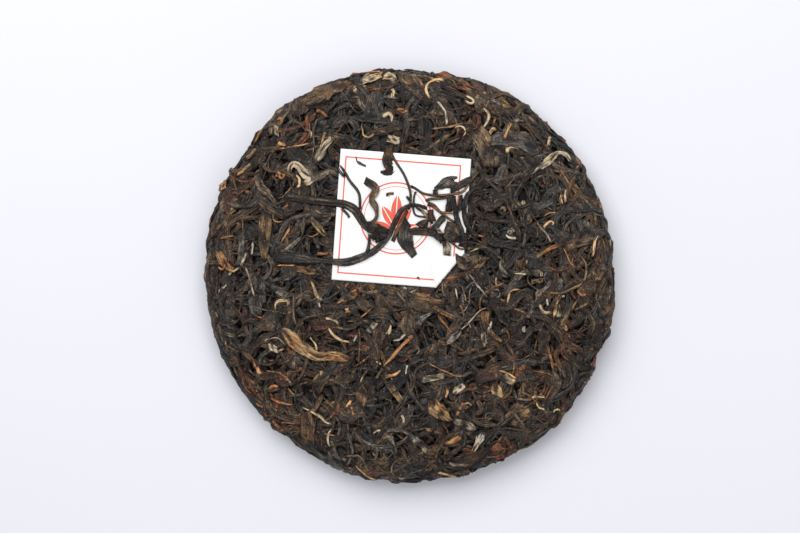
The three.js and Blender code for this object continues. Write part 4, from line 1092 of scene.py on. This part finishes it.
# What lies over the ticket: as above, and where its ends are tucked into the heap, how deep
TICKET_PIECES = [
    ("strand", 0.27, 0.15, [3, 3.6, 4, 3.8, 3.9, 4.2, 4.2, 3.8, 3.4, 2.6],
     [(-60, 38), (-50, 37), (-42, 36), (-33.5, 35), (-30, 34.5), (-26, 32.7), (-23.4, 30),
      (-21, 26), (-18.5, 23.2), (-15, 21.5)], (1.6, 0)),
    ("strand", 0.31, 0, [4, 5.2, 5, 4.2, 2.6, 3, 4, 3.9, 3.6, 3.2, 3, 2.8, 2.6, 2.6, 2.4, 2, 1.8],
     [(-64, 9.5), (-58, 9.2), (-52, 8.8), (-46, 8.2), (-40, 7.8), (-35, 7.3), (-30, 7), (-25, 8),
      (-20, 10), (-15.5, 12.5), (-11, 16.5), (-8.5, 20), (-6.5, 24.5), (-4.5, 28.5),
      (-2.5, 32), (3, 34.2), (9.5, 32.7)], (1.6, 0)),
    ("twig", 0.28, 0.2, 1.4, [(-34, 54), (-32, 50), (-29.5, 47.4)], (1.2, 0)),
    ("twig", 0.24, 0.2, 1.4,
     [(-33, 54.5), (-30.5, 51), (-28.7, 48.3), (-27.5, 46), (-25.5, 43.5), (-23.5, 41),
      (-22.5, 38.5), (-22.3, 35), (-22.2, 32)], (1.2, 0)),
    ("twig", 0.24, 0.3, 1.2,
     [(-9, 64), (-7.5, 58.5), (-5.6, 55), (-4, 52.5), (-2, 49.5), (-0.3, 46), (0.8, 43),
      (1.6, 40), (1.7, 37), (1.5, 34), (0.8, 32)], (1.2, 0)),
    ("flat", 0.27, 0.5, [3.5, 4.5, 6, 5.2, 4.5, 3, 0.8],
     [(-8.5, 63), (-9, 58), (-9.3, 55), (-8.5, 52.5), (-8, 50.5), (-10, 49.5), (-12.6, 50)],
     (1.0, 0)),
    ("flat", 0.38, 0.3, [3.4, 3.8, 3.6, 3.4, 2.6, 3.4, 2.6, 1.9, 1.8, 1.6, 1.4],
     [(-20, 45.8), (-16.8, 43.8), (-14.6, 41.8), (-15.8, 39.3), (-17, 37.2), (-16, 35),
      (-14.5, 33), (-14, 30), (-14.6, 27.5), (-17, 25.8), (-19, 25.8)]),
    ("flat", 0.18, 0.2, [4, 5.5, 3.5], [(-18.5, 23.5), (-14, 22.5), (-9, 21)]),
    ("leaf", 0.18, 0.2, [3.5, 4, 1], [(-16.5, 20.5), (-14, 18.5), (-14.8, 16.6)]),
    ("leaf", 0.2, 0.2, [4, 3], [(-13, 19.5), (-9.5, 19.5)]),
    ("twig", 0.24, 0.3, [1.3, 1.5, 1.7, 1.9],
     [(-17.6, 20.3), (-17.9, 17), (-18.3, 14), (-18.9, 11.8)]),
    ("twig", 0.3, 0.3, 1.3, [(-31, 32.5), (-28.5, 30), (-27.3, 28.2)]),
    ("flat", 0.31, 0.1, [4.5, 4.6, 5.6, 8, 7, 4.8, 3.6, 3.4],
     [(0.6, 26.4), (-0.6, 24), (-1.3, 21), (-1, 18.5), (-0.2, 16), (1.2, 13.5), (2.8, 11.3),
      (3.6, 10)]),
    ("twig", 0.36, 0.8, [1.2, 1.7, 1.9, 2, 2],
     [(0.3, 31.5), (-1.5, 28.5), (-3.5, 24.5), (-5.5, 20), (-6.7, 17)]),
    ("twig", 0.36, 0.5, 1.3,
     [(1.8, 43), (4, 42), (6.5, 40.2), (9, 39.3), (14, 38.7), (20, 39.2), (26, 40.3),
      (28, 42.5), (30, 45.5), (33, 49), (36, 51)], (0, 1.2)),
    ("twig", 0.33, 0.4, 1.4, [(8.8, 36.1), (11, 37), (14, 37.2), (17.5, 37.6), (20.5, 38.6)]),
    ("flat", 0.4, 0.05, [1.5, 3.5, 5.5, 5, 3.2],
     [(13, 41.8), (16, 43.3), (19, 44.8), (22.5, 45.8), (25.2, 46.6)], (0, 0.6)),
    ("flat", 0.36, 0.1, 2.5, [(13.3, 42), (13.5, 38.8)]),
    ("leaf", 0.28, 0.2, 3.5, [(20.5, 41.5), (24, 43), (27.5, 45), (31, 46.5)], (0, 1.0)),
    ("flat", 0.17, 0.1, [2.5, 4.5, 5.2, 5], [(22, 38.8), (21.2, 36.3), (20.7, 33.5), (20.5, 31)]),
    ("twig", 0.4, 0.85, [2.2, 2.2, 1.6, 1.2, 1.2, 1.1],
     [(9.8, 34.8), (12.5, 33.8), (15, 31.5), (17.5, 29.5), (20, 27.7), (23, 25.8)]),
    ("twig", 0.5, 1, 1, [(15.8, 30.8), (19, 30.6), (22, 30.5), (23.5, 31), (24.5, 32.2)]),
    ("twig", 0.27, 0.3, 1,
     [(4.2, 40.5), (3.4, 38.5), (3.2, 36), (3, 33), (3.2, 31), (3.9, 29.6), (5.5, 28.9),
      (8, 28.6), (9.5, 28.2)]),
    ("twig", 0.26, 0.3, 1.3, [(-0.2, 38.3), (1.2, 36.4)]),
    ("flat", 0.56, 0.3, [1.2, 1.6, 1.6, 1.4, 1],
     [(4.3, 33.3), (7, 31.5), (9, 29.5), (11.5, 26.3), (12, 25.3)]),
    ("strand", 0.29, 0.5, [3, 4, 4, 4, 4, 3.6],
     [(1, 21.5), (6, 21.7), (11, 21.5), (16, 19.5), (20, 18.5), (26, 18.3)]),
    ("leaf", 0.3, 0.7, 4, [(5.5, 24), (8, 25.5), (10, 25)]),
    ("leaf", 0.32, 0, 3, [(10.5, 21), (13.5, 24), (16.5, 27.5), (18, 28.5)]),
    ("leaf", 0.17, 0.1, 3, [(11, 22.5), (14, 20), (17, 17)]),
    ("leaf", 0.35, 0.8, 3, [(11, 32), (11.5, 29), (12.5, 26.5)]),
    ("flat", 0.3, 0.35, [4, 7.5, 7.5, 4.5], [(18.2, 24.3), (20, 22.5), (22, 20), (23.3, 18)]),
    ("flat", 0.62, 0.15, 1.8, [(14.2, 23.2), (15.2, 22), (16.3, 20.6)]),
    ("flat", 0.6, 0.2, [3, 3.6, 3.4], [(18, 17.2), (18.9, 14), (19, 10.3)]),
    ("twig", 0.34, 0.8, 1, [(20, 17.5), (22.5, 15.5), (24.5, 13.8), (27, 13.3), (31, 13.7)], (0, 1)),
    ("leaf", 0.22, 0, [1.8, 2.2, 2.6, 2.2], [(25.5, 39), (25.3, 36), (24.6, 33), (23, 31)]),
    ("leaf", 0.22, 0.1, [2.5, 2.8, 2.8, 3, 3, 2.8],
     [(23, 33), (23.5, 28.5), (24.5, 25), (26, 21), (26.5, 17), (25.5, 14.5)]),
    ("leaf", 0.24, 0.1, [1.5, 2.4, 2.8, 2.6, 2.8, 2.4, 1.8],
     [(33, 43), (29.5, 40), (27.6, 36), (27, 31.5), (27.9, 26.5), (30.5, 22), (34.5, 19)], (1, 1)),
    ("leaf", 0.2, 0.3, [1.5, 3, 2.5, 1.5], [(28, 21), (27.2, 18.5), (27.3, 15.5), (28.5, 13)]),
    ("flat", 0.36, 0.4, [4, 6, 5], [(23, 9), (28, 6.3), (34, 10)], (0, 1.0)),
    ("flat", 0.5, 0.7, 1.4, [(-9.9, 38.8), (-8.5, 39.5), (-6.3, 39.6)]),
]


def traced_route(width, places):
    widths = np.broadcast_to(np.asarray(width, float), len(places))
    return np.column_stack([np.array(places, float), widths])


def piece_thickness(form, width):
    most = np.max(width)
    thickness = {"strand": 1.3, "leaf": 1.1, "flat": 0.6, "twig": 0.8 * most, "pod": 0.5 * most}
    return min(max(thickness[form], 0.5), 1.3)


def lay_pieces(rows, high=None):
    """Lays single pieces in turn, and returns them by their form."""
    laid = {form: [] for form in LAID_KINDS}
    for form, shade, warmth, width, places, *tucks in rows:
        thick = piece_thickness(form, width)
        tuck = tucks[0] if tucks else (0, 0)
        laid[form].append(lay(
            traced_route(width, places), LAID_KINDS[form], float(np.max(width)), thick, FACE,
            (shade, warmth), high, tuck))
    return laid


def make_tea():
    """Lays every leaf, from the lowest layer up, and joins each kind in one mesh."""
    tea = leaf_material("dried_leaf")
    broad = leaf_material("flat_leaf", rough=0.5, bump=0.9, fibres=0.4, mottles=0.5)
    stem = leaf_material("stem_bark", rough=0.44, bump=0.6, fibres=0.45)
    gold = leaf_material("golden_down", rough=0.6, bump=0.6, fibres=0.45, mottles=0.7)

    # The lowest layer is drawn DARK: painted shade showing between the leaves above.
    low = scatter_face(560, LOW_STRIP, DARK, LOW_TOP)
    low += scatter_rim(180, LOW_STRIP, DARK, LOW_TOP)
    low += scatter_back(240, LOW_STRIP, DARK, LOW_TOP)
    build_leaves("lower_strips", low, LOW_STRIP, tea)

    middle = scatter_face(640, MID_STRIP, MIDDLING, MIDDLE_TOP, ribbon)
    build_leaves("middle_strips", middle, MID_STRIP, tea)

    rim = scatter_rim(460, RIM_STRIP, MIXED, RIM_TOP)
    build_leaves("rim_strips", rim, RIM_STRIP, tea)

    back = scatter_back(440, BACK_STRIP, MIDDLING, BACK_TOP)
    build_leaves("back_strips", back, BACK_STRIP, tea)

    flat = scatter_face(70, BROAD, MIXED, MIDDLE_TOP + 0.2)
    flat += scatter_rim(24, BROAD, BROWN, FLAT_TOP)
    flat += scatter_back(56, BROAD, MIXED, FLAT_TOP)

    stems = scatter_face(50, STEM, BROWN, UPPER_TOP - 0.3, gentle)
    stems += scatter_rim(26, STEM, BROWN, RIM_LAST_TOP)
    stems += scatter_back(34, STEM, BROWN, BACK_TOP, gentle)

    short = scatter_face(320, SHORT_STRIP, MIXED, UPPER_TOP - 0.2, beside_ticket=0.2)
    crumbs = scatter_face(300, CRUMB, MIXED, UPPER_TOP - 0.1, gentle, beside_ticket=0.3)
    top = scatter_face(404, TOP_STRIP, MIXED, UPPER_TOP, ribbon)
    flat += scatter_face(50, BROAD, MIDDLING, UPPER_TOP, beside_ticket=0.5)
    wisps = scatter_face(240, WISP, MIXED, LAST_TOP, ribbon)

    buds = scatter_face(24, BUD, LIGHT, LAST_TOP, gentle, beside_ticket=0.5)
    buds += scatter_rim(16, BUD, LIGHT, RIM_LAST_TOP)
    buds += scatter_back(20, BUD, LIGHT, BACK_TOP, gentle)
    curls = scatter_face(20, TENDRIL, LIGHT, LAST_TOP, curl, beside_ticket=0.5)
    curls += scatter_rim(20, TENDRIL, LIGHT, RIM_LAST_TOP, curl)
    curls += scatter_back(34, TENDRIL, LIGHT, BACK_TOP, curl)

    crumbs += scatter_face(120, CRUMB, MIXED, LAST_TOP, gentle, beside_ticket=0.3)
    crumbs += scatter_face(60, CRUMB, LIGHT, LAST_TOP + 0.1, gentle, beside_ticket=0.3)
    crumbs += scatter_rim(160, CRUMB, MIXED, RIM_LAST_TOP)

    heap = lay_pieces(HEAP_PIECES, SINGLE_TOP)
    stamp_ticket()
    held = lay_pieces(TICKET_PIECES)

    build_leaves("broad_leaves", flat, BROAD, broad)
    build_leaves("upper_strips", top, TOP_STRIP, tea)
    build_leaves("short_strips", short, SHORT_STRIP, tea)
    build_leaves("thin_strips", wisps, WISP, tea)
    build_leaves("stems", stems, STEM, stem)
    build_leaves("buds", buds, BUD, gold)
    build_leaves("curled_tips", curls, TENDRIL, gold)
    build_leaves("crumbs", crumbs, CRUMB, tea)
    build_leaves("single_leaves", heap["leaf"] + held["leaf"], LEAF, tea)
    build_leaves("single_flakes", heap["flat"] + held["flat"], FLAT, broad)
    build_leaves("single_stems", heap["twig"] + held["twig"], TWIG, stem)
    build_leaves("golden_tips", heap["pod"], POD, gold)
    build_leaves("ticket_strands", held["strand"], STRAND, tea)


def stamp_ticket():
    """Marks the ticket's upper side in the relief, so that strands come to lie on it."""
    side = np.arange(-TICKET_SIDE / 2, TICKET_SIDE / 2, 0.4)
    u, v = from_ticket(*np.meshgrid(side, side))
    s, angle = on_face(u, v)
    relief.stamp(s, angle, np.full(u.shape, PAPER_LIFT + PAPER_THICKNESS))


def folded_sheet():
    """The ticket's middle surface as a grid of points, with its corner folded over, and each
    point's place on the flat sheet."""
    half = TICKET_SIDE / 2
    side = np.linspace(-half, half, PAPER_CELLS + 1)
    x, y = np.meshgrid(side, side)
    start = np.array([half - FOLD_ALONG_BOTTOM, -half])
    end = np.array([half, -half + FOLD_ALONG_SIDE])
    ahead = (end - start) / np.linalg.norm(end - start)
    outward = np.array([ahead[1], -ahead[0]])
    beyond = (x - start[0]) * outward[0] + (y - start[1]) * outward[1]
    on_crease = np.abs(beyond) < 0.55 * TICKET_SIDE / PAPER_CELLS
    x = np.where(on_crease, x - beyond * outward[0], x)
    y = np.where(on_crease, y - beyond * outward[1], y)
    over = np.where(on_crease, 0, np.maximum(beyond, 0))
    u, v = from_ticket(x - 2 * over * outward[0], y - 2 * over * outward[1])
    rise = 0.22 * smoothstep(over, 0, 1.0)
    swell = 0.08 * np.sin(0.16 * x + 1) * np.cos(0.13 * y + 0.4) + 0.04 * np.sin(0.45 * x + 0.3 * y)
    lifted = 0.4 * smoothstep(np.hypot(x + half, y - half), 14, 0)
    s, angle = on_face(u, v)
    return body_point(s, angle, PAPER_LIFT + swell * (over == 0) + lifted + rise), x, y


def make_ticket():
    middle, x, y = folded_sheet()
    normal = np.cross(np.gradient(middle, axis=1), np.gradient(middle, axis=0))
    normal /= np.linalg.norm(normal, axis=2)[:, :, None]
    upper = middle + normal * PAPER_THICKNESS / 2
    lower = middle - normal * PAPER_THICKNESS / 2
    size = PAPER_CELLS + 1
    index = np.arange(size * size).reshape(size, size)
    a, b, c, d = index[:-1, :-1], index[:-1, 1:], index[1:, 1:], index[1:, :-1]
    top = np.stack([a, b, c, d], axis=2).reshape(-1, 4)
    under = top[:, ::-1] + size * size
    border = np.concatenate([index[0, :], index[1:, -1], index[-1, -2::-1], index[-2:0:-1, 0]])
    following = np.roll(border, -1)
    skirt = np.stack([border, border + size * size, following + size * size, following], axis=1)
    faces = np.vstack([top, under, skirt])
    share = np.stack([x, y], axis=2).reshape(-1, 2) / TICKET_SIDE + 0.5
    print_uv = share * [0.47, 0.96] + [0.015, 0.02]
    blank_uv = share * [0.47, 0.96] + [0.515, 0.02]
    point_uv = np.vstack([print_uv, blank_uv])
    skirt_uv = np.tile([0.5, 0.5], (4 * len(skirt), 1))
    uv = np.vstack([point_uv[top.ravel()], point_uv[under.ravel()], skirt_uv])
    flat = np.stack([x, y], axis=2).reshape(-1, 2)
    place = np.vstack([
        np.column_stack([flat, np.ones(len(flat))]), np.column_stack([flat, np.zeros(len(flat))])])
    points = np.vstack([upper.reshape(-1, 3), lower.reshape(-1, 3)]) * MM
    sizes = np.full(len(faces), 4)
    sheet = new_mesh("ticket_sheet", points, faces.ravel(), sizes, uv,
                     {"sheet_place": place}, ticket_material())
    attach(sheet, "root")
    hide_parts("paper_ticket")


# The ticket's print, in its own axes: a frame, a double ring and a sprig of five leaves
FRAME_MIDDLE = (-1.0, 0.0)
FRAME_HALF = (27.2, 27.4)
FRAME_LINE = 0.34
RING_MIDDLE = (-2.5, 0.3)
RING_RADII = ((16.8, 0.36), (15.0, 0.16))
SPRIG_FOOT = (-2.5, -11.5)
SPRIG_LEAVES = (
    ((-2.5, -6.5), 158, 11.5, 2.2),
    ((-2.5, -4.5), 124, 12.5, 2.3),
    ((-2.5, -3.0), 90, 14.5, 2.6),
    ((-2.5, -4.5), 56, 12.5, 2.3),
    ((-2.5, -6.5), 22, 11.5, 2.2),
)
PRINT_RED = (238, 92, 62)


def printed_area(n, x, y):
    """Where the print's ink lies, 0 to 1, worked out from distances on the flat sheet."""
    def line(distance, half_width):
        return n.remap(n.math("ABSOLUTE", distance), half_width + 0.12, half_width - 0.12)

    def less(a, b):
        return n.math("SUBTRACT", a, b)

    frame_x = less(n.math("ABSOLUTE", less(x, FRAME_MIDDLE[0])), FRAME_HALF[0])
    frame_y = less(n.math("ABSOLUTE", less(y, FRAME_MIDDLE[1])), FRAME_HALF[1])
    ink = line(n.math("MAXIMUM", frame_x, frame_y), FRAME_LINE)
    ring_x, ring_y = less(x, RING_MIDDLE[0]), less(y, RING_MIDDLE[1])
    squares = n.math("MULTIPLY_ADD", ring_x, ring_x, n.math("MULTIPLY", ring_y, ring_y))
    radius = n.math("SQRT", squares)
    for ring_radius, half_width in RING_RADII:
        ink = n.math("MAXIMUM", ink, line(less(radius, ring_radius), half_width))
    for (foot_x, foot_y), heading, length, width in SPRIG_LEAVES:
        c, s = math.cos(math.radians(heading)), math.sin(math.radians(heading))
        dx, dy = less(x, foot_x), less(y, foot_y)
        along = n.math("MULTIPLY_ADD", dx, c, n.math("MULTIPLY", dy, s))
        across = n.math("MULTIPLY_ADD", dx, -s, n.math("MULTIPLY", dy, c))
        share = n.math("MULTIPLY_ADD", along, 2 / length, -1.0)
        belly = n.math("SUBTRACT", 1.0, n.math("MULTIPLY", share, share))
        room = less(n.math("MULTIPLY", belly, width), n.math("ABSOLUTE", across))
        leaf = n.remap(room, -0.08, 0.12)
        rib = n.remap(n.math("ABSOLUTE", across), 0.12, 0.3)
        ink = n.math("MAXIMUM", ink, n.math("MULTIPLY", leaf, rib))
    stalk = n.math("MULTIPLY", line(less(x, SPRIG_FOOT[0]), 0.3), n.remap(y, -2.4, -2.6))
    stalk = n.math("MULTIPLY", stalk, n.remap(y, SPRIG_FOOT[1], SPRIG_FOOT[1] + 0.2))
    return n.math("MAXIMUM", ink, stalk)


def ticket_material():
    """Thin white paper, printed on its upper side and blank beneath."""
    n = Nodes("ticket_paper")
    place = n.node("ShaderNodeAttribute", attribute_name="sheet_place").outputs["Vector"]
    x, y, upper = n.node("ShaderNodeSeparateXYZ", {0: place}).outputs
    pulp = n.noise(n.scaled(place, (1, 1, 0)), 1.6, 4.0, 0.65)
    cloud = n.noise(n.scaled(place, (1, 1, 0)), 0.12, 2.0)
    white = n.mix(cloud, srgb(254, 253, 251), srgb(250, 249, 246))
    # The blank underside, seen on the folded corner, is a touch brighter than the printed side:
    # painted light making up for the folded corner's slight shade.
    blank = n.mix(cloud, srgb(254, 253, 251), srgb(252, 251, 247))
    paper = n.mix(n.remap(upper, 0.4, 0.6), blank, white)
    speckled = n.math("MULTIPLY", printed_area(n, x, y), n.remap(pulp, 0.2, 0.45, 0.72, 0.96))
    ink = n.math("MULTIPLY", speckled, n.remap(upper, 0.6, 0.9))
    colour = n.mix(ink, paper, srgb(*PRINT_RED))
    inputs = {"Strength": 0.2, "Distance": 0.1 * MM, "Height": pulp}
    normal = n.node("ShaderNodeBump", inputs).outputs[0]
    return n.finish(colour=colour, rough=n.remap(pulp, 0.2, 0.8, 0.7, 0.86), normal=normal,
                    specular=0.3)


# The camera looks at the middle of the face, from a little to its right and above it, and from
# as far as shows the cake at the photograph's size
PIXELS_PER_MM = 2.078
IMAGE_WIDTH = 800
CAKE_PIXEL = (408.6, 275.85)
IMAGE_MIDDLE = (400, 266.5)
LENS = 85.0
SENSOR = 36.0
CAMERA_YAW = math.radians(3.5)
CAMERA_PITCH = math.radians(2.5)


def make_camera():
    data = bpy.data.cameras.new("camera")
    data.lens = LENS
    data.sensor_width = SENSOR
    camera = bpy.data.objects.new("camera", data)
    bpy.context.scene.collection.objects.link(camera)
    distance = IMAGE_WIDTH / PIXELS_PER_MM * LENS / SENSOR
    level = math.cos(CAMERA_PITCH)
    backward = Vector((
        math.sin(CAMERA_YAW) * level, math.sin(CAMERA_PITCH), math.cos(CAMERA_YAW) * level))
    right = Vector((math.cos(CAMERA_YAW), 0, -math.sin(CAMERA_YAW)))
    up = backward.cross(right)
    middle = Vector((SHIFT[0], SHIFT[1], RIM_HEIGHT))
    aim = middle + right * ((IMAGE_MIDDLE[0] - CAKE_PIXEL[0]) / PIXELS_PER_MM)
    aim += up * ((CAKE_PIXEL[1] - IMAGE_MIDDLE[1]) / PIXELS_PER_MM)
    camera.location = (aim + backward * distance) * MM
    rows = zip(right, up, backward)
    camera.rotation_euler = Matrix([list(row) for row in rows]).to_euler()
    data.clip_start = 0.05
    data.clip_end = 20
    bpy.context.scene.camera = camera


# Soft daylight from above the picture, a weaker fill from below it and a pale floor
ROOM_COLOUR = (0.93, 0.95, 1.0, 1)
ROOM_LIGHT = 0.42
LIGHTS = [
    ("key", (-0.18, 0.68, 1.0), (1.5, 1.0), 14.0, (1, 1, 1)),
    ("fill", (0.8, -0.5, 1.2), (1.2, 1.2), 4.0, (1, 0.98, 0.96)),
]
FLOOR_REACH = 3.0


def make_light(name, place, size, power, colour):
    """A soft rectangular light in metres and watts, aimed at the cake."""
    data = bpy.data.lights.new(name, "AREA")
    data.shape = "RECTANGLE"
    data.size, data.size_y = size
    data.energy = power
    data.color = colour
    lamp = bpy.data.objects.new(name, data)
    bpy.context.scene.collection.objects.link(lamp)
    lamp.location = place
    lamp.rotation_euler = (-Vector(place)).to_track_quat("-Z", "Y").to_euler()


def make_studio():
    world = bpy.data.worlds.new("studio")
    bpy.context.scene.world = world
    world.use_nodes = True
    back = world.node_tree.nodes["Background"]
    back.inputs[0].default_value = ROOM_COLOUR
    back.inputs[1].default_value = ROOM_LIGHT
    for light in LIGHTS:
        make_light(*light)
    mesh = bpy.data.meshes.new("floor")
    corners = [(-1, -1), (1, -1), (1, 1), (-1, 1)]
    points = [(x * FLOOR_REACH, y * FLOOR_REACH, 0) for x, y in corners]
    mesh.from_pydata(points, [], [(0, 1, 2, 3)])
    floor = bpy.data.objects.new("floor", mesh)
    bpy.context.scene.collection.objects.link(floor)
    n = Nodes("floor_paper")
    where = n.node("ShaderNodeTexCoord").outputs["Object"]
    soft = n.noise(where, 3.0, 1.0)
    colour = n.mix(soft, srgb(235, 235, 242), srgb(240, 240, 246))
    mesh.materials.append(n.finish(colour=colour, rough=0.9, specular=0.1))
    bpy.context.scene.view_settings.view_transform = "Standard"
    bpy.context.scene.view_settings.look = "None"


make_camera()
make_studio()
make_core()
make_tea()
make_ticket()
